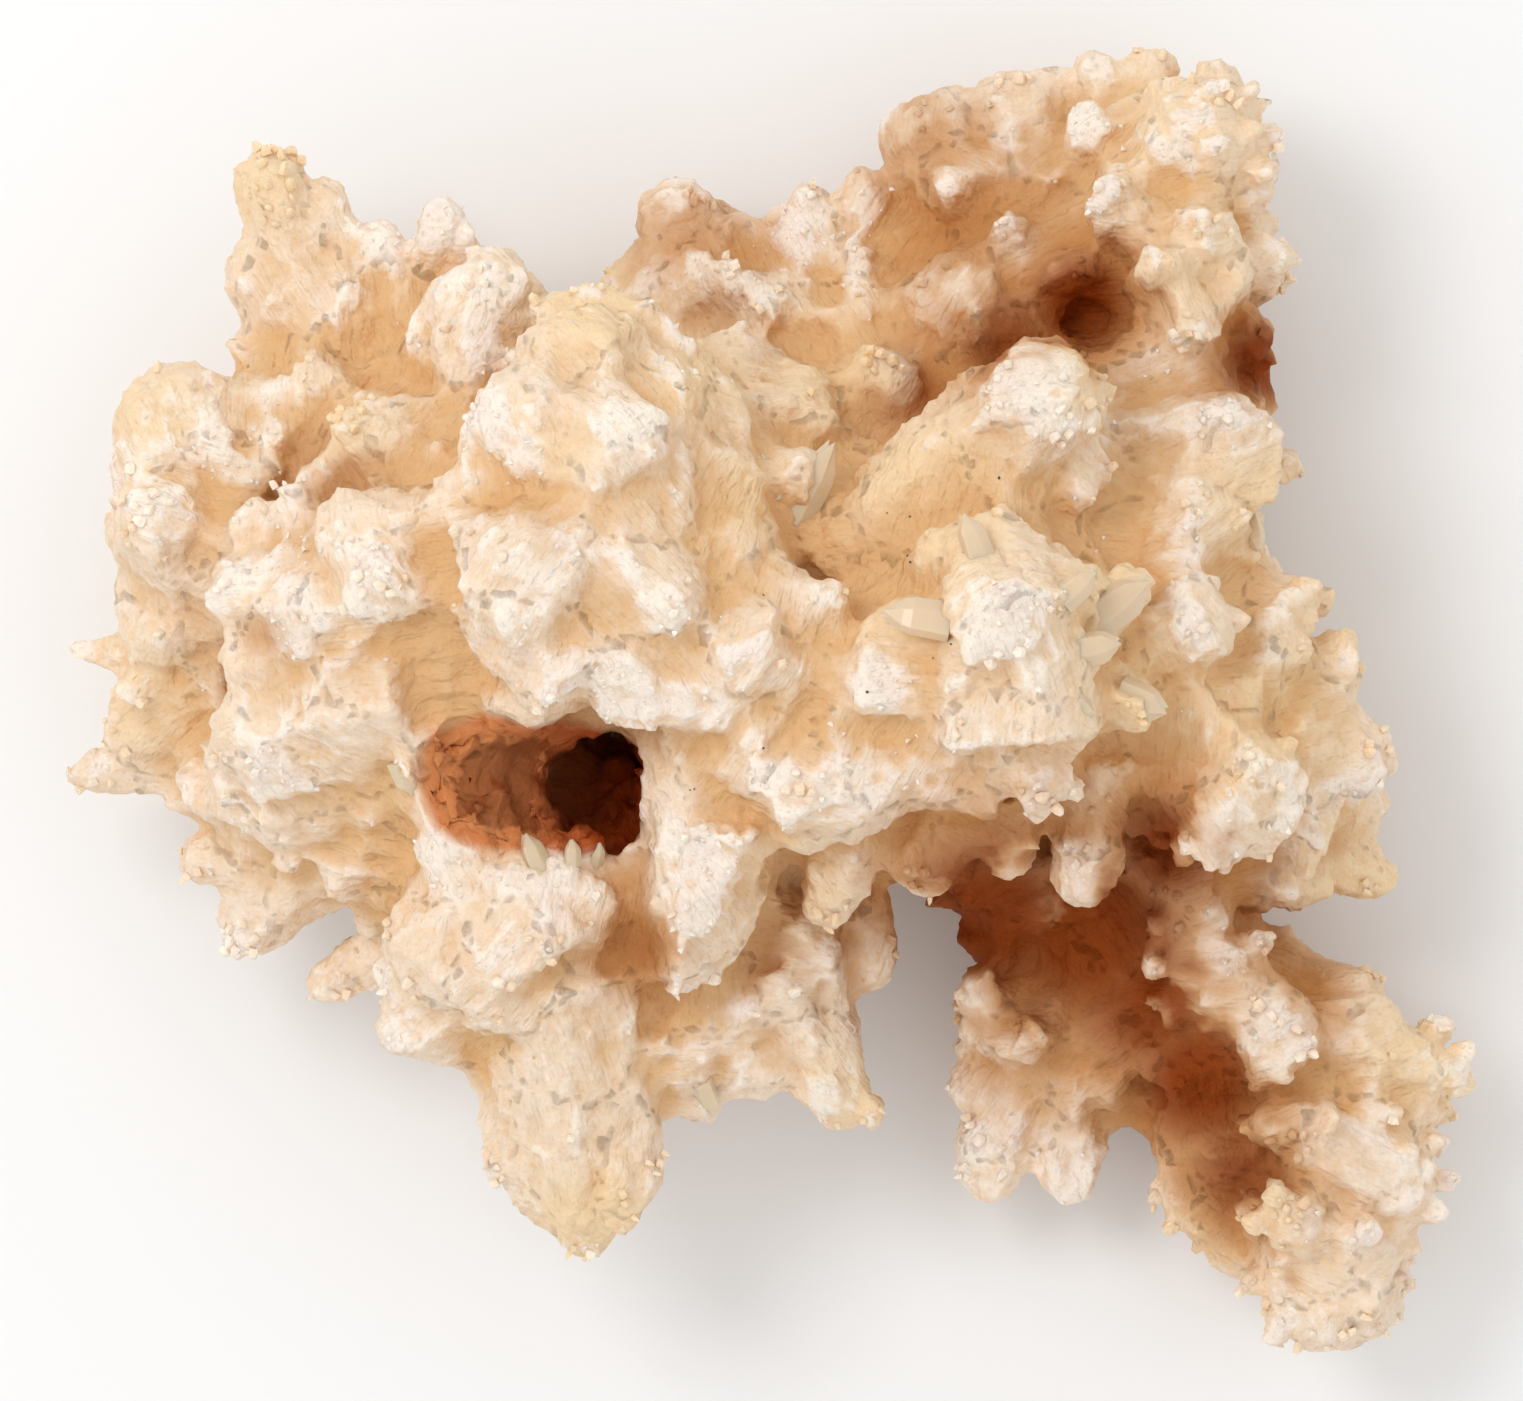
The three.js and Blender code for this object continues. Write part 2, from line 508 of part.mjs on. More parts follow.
// The solid as a mesh, scaled to the cluster's length, with the middle of its base at the origin
function toMesh(solid, name, material) {
  const { vertProperties, triVerts, numProp } = solid.getMesh();
  const positions = new Float32Array((vertProperties.length / numProp) * 3);
  for (let i = 0; i < positions.length / 3; i++) {
    positions.set(vertProperties.subarray(i * numProp, i * numProp + 3), i * 3);
  }
  const geometry = new THREE.BufferGeometry();
  geometry.setAttribute("position", new THREE.BufferAttribute(positions, 3));
  geometry.setIndex(new THREE.BufferAttribute(triVerts, 1));
  geometry.computeBoundingBox();
  const middle = geometry.boundingBox.getCenter(new THREE.Vector3());
  const size = geometry.boundingBox.getSize(new THREE.Vector3());
  geometry.translate(-middle.x, -middle.y, -geometry.boundingBox.min.z);
  geometry.scale(clusterLength / size.x, clusterLength / size.x, clusterLength / size.x);
  const mesh = new THREE.Mesh(geometry, material);
  mesh.name = name;
  return mesh;
}

const calcite = new THREE.MeshStandardMaterial({ color: 0xf0d9bd, roughness: 0.55, metalness: 0 });
const cluster = new THREE.Group();
cluster.add(toMesh(buildCluster(), "calcite_cluster", calcite));

export default cluster;
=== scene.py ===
import math
import random
import time

import bmesh
import bpy
import numpy as np
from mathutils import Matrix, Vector
from mathutils.bvhtree import BVHTree
from mathutils.kdtree import KDTree


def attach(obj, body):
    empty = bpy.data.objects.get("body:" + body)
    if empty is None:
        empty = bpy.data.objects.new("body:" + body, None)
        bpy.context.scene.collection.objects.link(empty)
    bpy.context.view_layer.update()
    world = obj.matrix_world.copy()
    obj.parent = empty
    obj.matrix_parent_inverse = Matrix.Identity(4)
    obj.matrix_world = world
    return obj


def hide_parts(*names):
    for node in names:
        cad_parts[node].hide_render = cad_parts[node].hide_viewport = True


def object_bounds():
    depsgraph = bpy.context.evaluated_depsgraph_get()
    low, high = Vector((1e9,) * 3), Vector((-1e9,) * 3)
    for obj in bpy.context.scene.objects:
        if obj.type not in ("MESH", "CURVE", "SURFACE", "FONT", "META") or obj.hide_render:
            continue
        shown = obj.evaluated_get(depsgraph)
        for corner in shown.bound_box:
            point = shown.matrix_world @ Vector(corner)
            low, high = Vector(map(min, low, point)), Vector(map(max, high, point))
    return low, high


startTime = time.time()
mm = 0.001


def say(text):
    print(f"[{time.time() - startTime:6.1f} s] {text}", flush=True)


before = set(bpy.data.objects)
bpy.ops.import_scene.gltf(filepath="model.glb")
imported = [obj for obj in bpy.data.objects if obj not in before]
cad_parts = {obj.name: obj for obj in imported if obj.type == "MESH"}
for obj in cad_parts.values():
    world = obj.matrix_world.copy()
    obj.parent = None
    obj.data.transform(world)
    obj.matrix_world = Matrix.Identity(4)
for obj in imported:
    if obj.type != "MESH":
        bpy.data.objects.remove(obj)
cadLow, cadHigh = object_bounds()
say("frame loaded")

scene = bpy.context.scene
scene.view_settings.view_transform = "Standard"

# The photograph looks straight down. One pixel of it is about a tenth of a millimetre on a plane 30 mm up.
photoWidth = 1523
photoMiddle = (761.5, 700.5)
pixelSize = 0.1001 * mm
viewDistance = 1800 * mm
referenceHeight = 30 * mm
cameraSpot = (-1.0 * mm, 0.1 * mm)


def atPixel(px, py, height):
    scale = pixelSize * (viewDistance + referenceHeight - height) / viewDistance
    x = cameraSpot[0] + (px - photoMiddle[0]) * scale
    y = cameraSpot[1] - (py - photoMiddle[1]) * scale
    return Vector((x, y, height))


def toPixels(points):
    scale = pixelSize * (viewDistance + referenceHeight - points[:, 2]) / viewDistance
    px = (points[:, 0] - cameraSpot[0]) / scale + photoMiddle[0]
    py = photoMiddle[1] - (points[:, 1] - cameraSpot[1]) / scale
    return px, py


# soft round spots on the photograph: pixel column and row, reach in pixels, strength
def spotted(points, rows):
    px, py = toPixels(points)
    total = np.zeros(len(points))
    for spotX, spotY, reach, strength in rows:
        apart = np.hypot(px - spotX, py - spotY) / reach
        total = np.maximum(total, strength * np.exp(-apart * apart))
    return total


# small mesh helpers


def newObject(name, mesh):
    made = bpy.data.objects.new(name, mesh)
    scene.collection.objects.link(made)
    return made


def meshFrom(name, verts, faces):
    mesh = bpy.data.meshes.new(name)
    mesh.from_pydata(verts, [], faces)
    return mesh


def dropObject(thing):
    mesh = thing.data
    bpy.data.objects.remove(thing)
    if mesh.users == 0:
        bpy.data.meshes.remove(mesh)


def settle(thing):
    graph = bpy.context.evaluated_depsgraph_get()
    mesh = bpy.data.meshes.new_from_object(thing.evaluated_get(graph))
    thing.modifiers.clear()
    old = thing.data
    thing.data = mesh
    if old.users == 0:
        bpy.data.meshes.remove(old)
    return thing


def voxels(thing, size):
    modifier = thing.modifiers.new("voxels", "REMESH")
    modifier.mode = "VOXEL"
    modifier.voxel_size = size
    modifier.use_smooth_shade = True
    return settle(thing)


def soften(thing, factor, times):
    modifier = thing.modifiers.new("soften", "SMOOTH")
    modifier.factor = factor
    modifier.iterations = times
    return settle(thing)


def pointsOf(mesh):
    found = np.empty(len(mesh.vertices) * 3, dtype=np.float32)
    mesh.vertices.foreach_get("co", found)
    return found.reshape(-1, 3).astype(np.float64)


def normalsOf(mesh):
    found = np.empty(len(mesh.vertices) * 3, dtype=np.float32)
    mesh.vertex_normals.foreach_get("vector", found)
    return found.reshape(-1, 3).astype(np.float64)


def movePoints(mesh, points):
    mesh.vertices.foreach_set("co", points.astype(np.float32).ravel())
    mesh.update()


def keepMainShell(thing):
    mesh = thing.data
    ends = np.empty(len(mesh.edges) * 2, dtype=np.int64)
    mesh.edges.foreach_get("vertices", ends)
    first = ends[0::2]
    second = ends[1::2]
    label = np.arange(len(mesh.vertices))
    changed = True
    while changed:
        fresh = label.copy()
        lowest = np.minimum(label[first], label[second])
        np.minimum.at(fresh, label[first], lowest)
        np.minimum.at(fresh, label[second], lowest)
        fresh = fresh[fresh]
        changed = not np.array_equal(fresh, label)
        label = fresh
    sizes = np.bincount(label)
    group = thing.vertex_groups.new(name="main")
    group.add(np.flatnonzero(label == sizes.argmax()).tolist(), 1.0, "REPLACE")
    modifier = thing.modifiers.new("main", "MASK")
    modifier.vertex_group = "main"
    settle(thing)
    thing.vertex_groups.clear()
    say(f"{np.count_nonzero(sizes) - 1} loose or inner shells taken out")
    return thing


def puff(thing, distance):
    movePoints(thing.data, pointsOf(thing.data) + normalsOf(thing.data) * distance)
    return thing


def store(mesh, name, values):
    kind = "FLOAT_VECTOR" if values.ndim == 2 else "FLOAT"
    layer = mesh.attributes.new(name, kind, "POINT")
    layer.data.foreach_set("vector" if values.ndim == 2 else "value", values.astype(np.float32).ravel())


def joined(name, meshes):
    builder = bmesh.new()
    for mesh in meshes:
        builder.from_mesh(mesh)
    mesh = bpy.data.meshes.new(name)
    builder.to_mesh(mesh)
    builder.free()
    return newObject(name, mesh)


# noise and soft grids, all from fixed seeds


def corners(part):
    for dx in (0, 1):
        for dy in (0, 1):
            for dz in (0, 1):
                weight = (
                    (part[:, 0] if dx else 1 - part[:, 0])
                    * (part[:, 1] if dy else 1 - part[:, 1])
                    * (part[:, 2] if dz else 1 - part[:, 2])
                )
                yield dx, dy, dz, weight


def latticeNoise(points, cell, seed):
    size = 41
    table = np.random.default_rng(seed).random((size, size, size)) * 2 - 1
    place = points / cell
    low = np.floor(place).astype(int)
    part = place - low
    part = part * part * (3 - 2 * part)
    total = np.zeros(len(points))
    for dx, dy, dz, weight in corners(part):
        total += weight * table[(low[:, 0] + dx) % size, (low[:, 1] + dy) % size, (low[:, 2] + dz) % size]
    return total


def roughNoise(points, cell, seed, layers=3):
    total = np.zeros(len(points))
    strength = 1.0
    for layer in range(layers):
        total += latticeNoise(points + layer * 0.37, cell, seed + layer) * strength
        cell = cell * 0.48
        strength = strength * 0.55
    return total


def ramp(values, low, high):
    part = np.clip((values - low) / (high - low), 0, 1)
    return part * part * (3 - 2 * part)


gridStep = 1.0 * mm
gridMargin = 14


# fills a grid of cells by casting rays downwards through the closed mesh
def solidGrid(mesh):
    low = np.array(cadLow) - gridMargin * gridStep
    size = np.ceil((np.array(cadHigh) - low) / gridStep).astype(int) + gridMargin
    mesh.calc_loop_triangles()
    tree = BVHTree.FromPolygons([v.co for v in mesh.vertices], [t.vertices[:] for t in mesh.loop_triangles])
    inside = np.zeros(size, dtype=np.float32)
    top = float(cadHigh[2]) + 5 * mm
    down = Vector((0, 0, -1))
    for i in range(size[0]):
        for j in range(size[1]):
            x = low[0] + (i + 0.5) * gridStep
            y = low[1] + (j + 0.5) * gridStep
            height = top
            crossings = []
            while True:
                hit = tree.ray_cast(Vector((x, y, height)), down)
                if hit[0] is None:
                    break
                crossings.append(hit[0].z)
                height = hit[0].z - 0.02 * mm
            for upper, lower in zip(crossings[0::2], crossings[1::2]):
                first = int(round((lower - low[2]) / gridStep))
                last = int(round((upper - low[2]) / gridStep))
                inside[i, j, first:last] = 1
    return inside, low


def blurred(grid, width):
    spectrum = np.fft.rfftn(grid)
    for axis in range(3):
        count = grid.shape[axis]
        waves = np.fft.rfftfreq(count) if axis == 2 else np.fft.fftfreq(count)
        fall = np.exp(-2 * (math.pi * waves * width / gridStep) ** 2)
        shape = [1, 1, 1]
        shape[axis] = len(fall)
        spectrum = spectrum * fall.reshape(shape)
    return np.fft.irfftn(spectrum, grid.shape).astype(np.float32)


def sample(grid, low, points):
    place = (points - low) / gridStep - 0.5
    base = np.clip(np.floor(place).astype(int), 0, np.array(grid.shape) - 2)
    part = np.clip(place - base, 0, 1)
    total = 0
    for dx, dy, dz, weight in corners(part):
        total = total + weight * grid[base[:, 0] + dx, base[:, 1] + dy, base[:, 2] + dz]
    return total


def slopeOf(grid, low, points, reach):
    found = np.zeros_like(points)
    for axis in range(3):
        step = np.zeros(3)
        step[axis] = reach
        found[:, axis] = sample(grid, low, points + step) - sample(grid, low, points - step)
    length = np.linalg.norm(found, axis=1, keepdims=True)
    return -found / np.maximum(length, 1e-9)


# the stone's rounded core, fused from the CAD solid

coreValues = {
    "voxel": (0.8 * mm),
    "puffedOut": 1.7 * mm,
    "puffedIn": 2.1 * mm,
    "wellReach": 6,
    "wellDepth": 2.6 * mm,
    "wellFloor": 3 * mm,
}
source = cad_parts["calcite_cluster"].data.copy()
shaper = bmesh.new()
shaper.from_mesh(source)
bmesh.ops.remove_doubles(shaper, verts=shaper.verts, dist=0.001 * mm)
shaper.to_mesh(source)
shaper.free()
solids = source.copy()
core = newObject("core", source)
voxels(core, coreValues["voxel"])
puff(core, coreValues["puffedOut"])
voxels(core, coreValues["voxel"])
puff(core, -coreValues["puffedIn"])
say(f"core fused, {len(core.data.polygons)} faces")

# Wells between the crystals are filled with matrix, up to a little under their rims. A few stay open.
openWells = [
    (600, 790, 62), (930, 388, 26), (1090, 322, 30), (960, 880, 120), (1010, 1010, 130),
    (1180, 990, 110), (1130, 880, 90), (1290, 960, 60),
]


def slid(heights, reach, pick):
    best = heights.copy()
    for i in range(-reach, reach + 1):
        for j in range(-reach, reach + 1):
            if i * i + j * j <= reach * reach + 1:
                best = pick(best, np.roll(heights, (i, j), (0, 1)))
    return best


def fillWells(thing):
    inside, gridLow = solidGrid(thing.data)
    levels = np.arange(inside.shape[2])
    top = (inside * (levels + 1)).max(2) * gridStep + gridLow[2]
    top = np.where(inside.any(2), top, 0.0)
    reach = coreValues["wellReach"]
    closed = slid(slid(top, reach, np.maximum), reach, np.minimum)
    goal = closed - coreValues["wellDepth"]
    floorHeight = coreValues["wellFloor"]
    wells = np.argwhere((top > floorHeight) & (goal > top + 0.5 * mm))
    verts = []
    faces = []
    half = gridStep * 0.75
    for i, j in wells:
        x = gridLow[0] + (i + 0.5) * gridStep
        y = gridLow[1] + (j + 0.5) * gridStep
        px, py = toPixels(np.array([[x, y, goal[i, j]]]))
        if any(math.hypot(px[0] - wx, py[0] - wy) < kept for wx, wy, kept in openWells):
            continue
        first = len(verts)
        for z in (top[i, j] - floorHeight, goal[i, j]):
            for signX, signY in ((-1, -1), (1, -1), (1, 1), (-1, 1)):
                verts.append((x + signX * half, y + signY * half, z))
        for face in ((3, 2, 1, 0), (4, 5, 6, 7), (0, 1, 5, 4), (1, 2, 6, 5), (2, 3, 7, 6), (3, 0, 4, 7)):
            faces.append(tuple(first + k for k in face))
    return meshFrom("matrixFill", verts, faces)


# The forms that the photograph shows, each a blunt or pointed crystal seen from above.
# A row is root pixel, tip pixel, width in pixels, taper, and the heights of root and tip in millimetres.

upperLeftForms = [
    (300, 268, 264, 158, 62, 0.12, 30, 33), (322, 272, 326, 176, 70, 0.35, 30, 30),
    (442, 268, 439, 200, 56, 0.3, 32, 36), (468, 275, 466, 228, 34, 0.5, 33, 36),
    (310, 290, 228, 262, 104, 0.2, 27, 27), (290, 310, 246, 318, 56, 0.3, 26, 25),
    (395, 305, 366, 222, 92, 0.4, 30, 31), (488, 320, 528, 275, 66, 0.25, 39, 43),
    (455, 340, 448, 275, 70, 0.25, 38, 42), (350, 330, 300, 330, 80, 0.25, 30, 29),
]
leftForms = [
    (215, 480, 142, 378, 136, 0.1, 37, 38), (170, 560, 134, 440, 80, 0.12, 35, 38),
    (160, 640, 132, 560, 70, 0.3, 33, 32), (250, 410, 190, 392, 60, 0.3, 36, 37),
    (280, 440, 225, 520, 80, 0.2, 38, 42), (178, 658, 70, 649, 60, 0.7, 26, 24),
    (205, 760, 60, 778, 74, 0.7, 23, 19), (205, 705, 118, 738, 84, 0.6, 27, 22),
    (195, 690, 140, 690, 60, 0.4, 30, 26),
]
saddleForms = [
    (430, 522, 318, 520, 64, 0.2, 56, 50), (390, 600, 235, 588, 100, 0.2, 51, 47),
    (390, 662, 222, 660, 88, 0.2, 51, 45), (430, 728, 255, 745, 92, 0.2, 48, 44),
    (440, 785, 305, 800, 84, 0.3, 44, 40), (300, 560, 222, 545, 52, 0.5, 49, 45),
    (445, 432, 325, 426, 76, 0.4, 44, 47), (478, 425, 458, 305, 84, 0.2, 42, 44),
    (420, 470, 350, 470, 50, 0.3, 46, 46), (250, 800, 205, 790, 60, 0.3, 36, 32),
]
crownForms = [
    (600, 540, 560, 345, 200, 0.08, 57, 54), (640, 560, 640, 350, 160, 0.15, 57, 54),
    (520, 600, 500, 400, 110, 0.12, 60, 56), (690, 650, 735, 500, 110, 0.15, 57, 50),
    (560, 650, 470, 560, 130, 0.2, 60, 59), (610, 600, 640, 705, 130, 0.2, 60, 59),
    (560, 620, 572, 700, 90, 0.3, 60, 58), (730, 620, 785, 575, 90, 0.2, 56, 54),
    (770, 640, 850, 610, 84, 0.1, 55, 55), (700, 680, 760, 690, 110, 0.15, 57, 56),
    (800, 600, 852, 596, 40, 0.1, 58, 57), (560, 330, 620, 302, 70, 0.3, 50, 50),
]
crownRim = [(585, 306), (640, 318), (682, 362), (706, 410), (730, 462), (750, 520), (768, 566)]
ledgeForms = [
    (700, 720, 702, 850, 116, 0.08, 50, 48), (708, 840, 684, 990, 136, 0.72, 48, 42),
    (850, 760, 790, 810, 150, 0.2, 51, 50), (815, 790, 790, 850, 90, 0.25, 49, 48),
    (862, 790, 822, 926, 84, 0.3, 45, 40), (950, 790, 922, 896, 82, 0.25, 45, 40),
    (1008, 800, 1012, 878, 62, 0.25, 45, 40), (1094, 770, 1082, 910, 78, 0.2, 45, 40),
    (1120, 780, 1140, 836, 56, 0.4, 40, 36), (970, 750, 885, 740, 130, 0.15, 52, 53),
    (1030, 770, 1060, 750, 100, 0.2, 54, 54), (920, 690, 810, 700, 110, 0.15, 54, 54),
    (760, 740, 720, 720, 110, 0.1, 54, 52),
]
starForms = [
    (1010, 700, 1000, 580, 160, 0.1, 58, 59), (970, 635, 864, 616, 84, 0.72, 60, 57),
    (985, 610, 942, 524, 80, 0.15, 57, 56), (1030, 610, 1012, 530, 84, 0.3, 59, 59),
    (1060, 640, 1152, 572, 66, 0.35, 57, 53), (1040, 690, 1090, 742, 96, 0.3, 58, 54),
    (1000, 720, 1004, 796, 92, 0.4, 56, 50), (960, 690, 918, 660, 84, 0.4, 56, 54),
    (1060, 660, 1088, 640, 80, 0.3, 58, 56),
]
columnForms = [
    (885, 560, 1052, 394, 158, 0.08, 44, 49), (1060, 420, 1098, 372, 66, 0.2, 47, 48),
    (880, 560, 852, 590, 100, 0.2, 43, 42), (1010, 505, 1112, 462, 64, 0.3, 44, 46),
    (950, 450, 1010, 372, 90, 0.15, 46, 48),
]
shoulderForms = [
    (1120, 470, 1262, 432, 118, 0.1, 35, 37), (1120, 540, 1250, 528, 118, 0.15, 34, 36),
    (1180, 450, 1240, 416, 60, 0.2, 38, 39), (1160, 500, 1210, 560, 80, 0.3, 36, 35),
    (1200, 612, 1316, 604, 84, 0.15, 31, 31), (1110, 616, 1228, 624, 100, 0.15, 43, 41),
    (1090, 690, 1165, 722, 84, 0.3, 46, 42), (1190, 700, 1290, 696, 84, 0.2, 36, 34),
    (1300, 680, 1352, 704, 66, 0.35, 30, 28), (1330, 745, 1400, 764, 66, 0.5, 27, 25),
    (1190, 770, 1300, 812, 124, 0.08, 38, 41), (1340, 800, 1388, 806, 56, 0.4, 26, 24),
    (1340, 860, 1400, 884, 60, 0.5, 24, 22), (1290, 870, 1310, 905, 70, 0.4, 26, 24),
    (1340, 660, 1300, 660, 60, 0.3, 29, 29),
]
armForms = [
    (1150, 850, 1212, 896, 84, 0.15, 29, 31), (1200, 960, 1258, 990, 84, 0.15, 27, 29),
    (1200, 970, 1148, 940, 50, 0.6, 27, 27), (1195, 985, 1140, 1000, 50, 0.6, 26, 25),
    (1250, 1005, 1310, 1062, 90, 0.2, 27, 28), (1300, 1040, 1400, 1010, 76, 0.3, 24, 22),
    (1380, 1050, 1484, 1088, 70, 0.65, 22, 20), (1370, 1080, 1440, 1120, 60, 0.5, 21, 19),
    (1310, 1130, 1244, 1122, 70, 0.5, 26, 26), (1320, 1150, 1430, 1212, 96, 0.35, 24, 22),
    (1330, 1230, 1332, 1354, 150, 0.25, 19, 18), (1330, 1210, 1290, 1290, 80, 0.3, 19, 15),
    (1190, 1120, 1205, 1220, 84, 0.2, 16, 14), (1210, 1210, 1270, 1280, 70, 0.3, 15, 13),
    (1004, 1120, 982, 1198, 76, 0.15, 13, 11), (1060, 1120, 1074, 1200, 70, 0.15, 13, 11),
    (1000, 1010, 955, 1010, 60, 0.4, 18, 16), (990, 1080, 945, 1094, 52, 0.4, 14, 12),
    (1000, 950, 958, 930, 50, 0.4, 20, 18), (1080, 1040, 1036, 1030, 60, 0.2, 18, 20),
    (1110, 1090, 1120, 1110, 40, 0.2, 16, 15), (1190, 1070, 1190, 1080, 34, 0.1, 20, 23),
]
lowerForms = [
    (520, 930, 470, 860, 170, 0.1, 44, 44), (500, 960, 388, 1040, 116, 0.25, 42, 34),
    (560, 900, 618, 925, 96, 0.3, 46, 45), (460, 850, 458, 790, 84, 0.08, 46, 49),
    (520, 860, 506, 812, 56, 0.3, 46, 48), (560, 1010, 588, 1260, 184, 0.62, 37, 30),
    (540, 1080, 552, 1226, 112, 0.3, 33, 29), (520, 1050, 520, 1130, 90, 0.3, 34, 31),
    (620, 1060, 620, 1180, 50, 0.2, 31, 28), (780, 990, 856, 1128, 136, 0.66, 31, 27),
    (660, 1040, 716, 1122, 110, 0.72, 33, 28), (690, 960, 772, 1098, 110, 0.3, 34, 29),
    (850, 920, 876, 990, 84, 0.3, 28, 27), (790, 930, 836, 992, 84, 0.3, 34, 31),
    (300, 850, 234, 950, 104, 0.35, 27, 20), (260, 850, 178, 862, 70, 0.35, 26, 22),
    (330, 870, 300, 915, 70, 0.5, 28, 22), (390, 950, 310, 994, 66, 0.4, 22, 19),
    (400, 900, 360, 930, 70, 0.4, 28, 24),
]
backForms = [
    (700, 260, 656, 186, 90, 0.2, 19, 20), (690, 270, 735, 222, 70, 0.3, 19, 19),
    (640, 300, 604, 275, 50, 0.3, 19, 19), (810, 250, 804, 184, 60, 0.3, 19, 20),
    (860, 240, 866, 164, 60, 0.3, 20, 20), (790, 330, 750, 285, 110, 0.15, 23, 24),
    (890, 410, 865, 355, 74, 0.1, 33, 35), (720, 400, 700, 350, 100, 0.2, 38, 37),
    (780, 420, 760, 370, 100, 0.2, 35, 35), (780, 520, 804, 448, 84, 0.5, 44, 50),
    (840, 460, 830, 420, 60, 0.3, 36, 35),
]
upperRightForms = [
    (960, 190, 925, 92, 120, 0.2, 19, 20), (1030, 170, 1000, 74, 110, 0.2, 21, 20),
    (1190, 160, 1204, 116, 128, 0.05, 28, 30), (1230, 140, 1248, 110, 60, 0.2, 27, 27),
    (1100, 110, 1094, 46, 60, 0.3, 21, 22), (1150, 110, 1152, 44, 64, 0.3, 22, 22),
    (1210, 120, 1226, 60, 70, 0.3, 24, 24), (1055, 130, 1048, 64, 64, 0.3, 20, 20),
    (1140, 220, 1100, 205, 72, 0.15, 31, 33), (1200, 240, 1202, 218, 76, 0.1, 32, 36),
    (1160, 300, 1138, 272, 52, 0.1, 32, 37), (1190, 300, 1190, 348, 62, 0.15, 34, 36),
    (1240, 260, 1292, 260, 60, 0.2, 27, 27), (1240, 190, 1262, 165, 60, 0.2, 26, 26),
    (1240, 330, 1268, 350, 60, 0.2, 24, 22), (950, 310, 930, 280, 130, 0.1, 26, 29),
    (1010, 290, 1030, 250, 90, 0.2, 26, 27), (960, 360, 940, 350, 70, 0.2, 27, 28),
    (1060, 250, 1050, 210, 70, 0.2, 25, 26),
]
pocketCuts = [
    (482, 782, 606, 790, 118, 0.1, 53, 36), (560, 788, 612, 794, 112, 0.1, 56, 28),
    (600, 768, 612, 826, 74, 0.1, 48, 27),
]


def tubeFaces(first, levels, sides):
    faces = []
    for level in range(levels):
        for side in range(sides):
            a = first + level * sides + side
            b = first + level * sides + (side + 1) % sides
            faces.append((a, b, b + sides, a + sides))
    faces.append(tuple(first + k for k in reversed(range(sides))))
    faces.append(tuple(first + levels * sides + k for k in range(sides)))
    return faces


def addForm(verts, faces, row, number):
    rootX, rootY, tipX, tipY, width, taper, rootZ, tipZ = row
    dice = random.Random(number)
    root = atPixel(rootX, rootY, rootZ * mm)
    tip = atPixel(tipX, tipY, tipZ * mm)
    half = width * pixelSize / 2
    way = (tip - root).normalized()
    side = way.cross(Vector((0, 0, 1))).normalized()
    up = side.cross(way)
    root = root - way * half * 0.5
    reach = (tip - root).length
    rings = 16
    sides = 24
    first = len(verts)
    turn = dice.uniform(0, 1)
    for ring in range(rings + 1):
        part = math.sin(ring / rings * math.pi / 2)
        size = half * (1 - 0.8 * taper * part) * math.sqrt(max(0.0, 1 - part ** (8 - 4 * taper)))
        for step in range(sides):
            angle = math.tau * step / sides
            facet = 1.03 + 0.07 * math.cos(6 * (angle + turn)) + 0.05 * math.cos(3 * angle + 5 * turn)
            spot = root + way * reach * part
            spot += side * size * facet * math.cos(angle) + up * size * facet * 0.88 * math.sin(angle)
            verts.append(tuple(spot))
    faces += tubeFaces(first, rings, sides)


def formMesh(name, lists):
    verts = []
    faces = []
    for rows in lists:
        for number, row in enumerate(rows):
            addForm(verts, faces, row, number)
    return meshFrom(name, verts, faces)


rimForms = [
    (*crownRim[i], *crownRim[i + 1], 44, 0.0, 50 + 0.6 * i, 50.6 + 0.6 * i) for i in range(len(crownRim) - 1)
]
photoForms = [
    upperLeftForms, leftForms, saddleForms, crownForms, rimForms, ledgeForms, starForms, columnForms,
    shoulderForms, armForms, lowerForms, backForms, upperRightForms,
]
shapes = formMesh("forms", photoForms)


def carve(thing, cutter):
    knife = newObject("knife", cutter)
    modifier = thing.modifiers.new("carve", "BOOLEAN")
    modifier.operation = "DIFFERENCE"
    modifier.solver = "MANIFOLD"
    modifier.object = knife
    settle(thing)
    dropObject(knife)
    return thing


filled = joined("core", [core.data, fillWells(core), solids, shapes])
dropObject(core)
core = filled
voxels(core, coreValues["voxel"])
soften(core, 0.5, 2)
say(f"wells filled, {len(core.data.polygons)} faces")

inside, gridLow = solidGrid(core.data)
nearGrid = blurred(inside, 3.0 * mm)
middleGrid = blurred(inside, 5.0 * mm)
wideGrid = blurred(inside, 10.0 * mm)
say("solid sampled")

corePoints = pointsOf(core.data)
growth = slopeOf(middleGrid, gridLow, corePoints, 2 * mm)

# seeds share out the surface, each with its own direction of growth


def chooseSeeds(points, directions, apart, seed):
    dice = np.random.default_rng(seed)
    order = dice.permutation(len(points))[:9000]
    chosen = np.empty((0, 3))
    ways = []
    for index in order:
        if len(chosen) and np.min(np.sum((chosen - points[index]) ** 2, axis=1)) < apart * apart:
            continue
        way = directions[index] + dice.normal(0, 0.16, 3)
        chosen = np.vstack([chosen, points[index]])
        ways.append(way / np.linalg.norm(way))
    return chosen, np.array(ways)


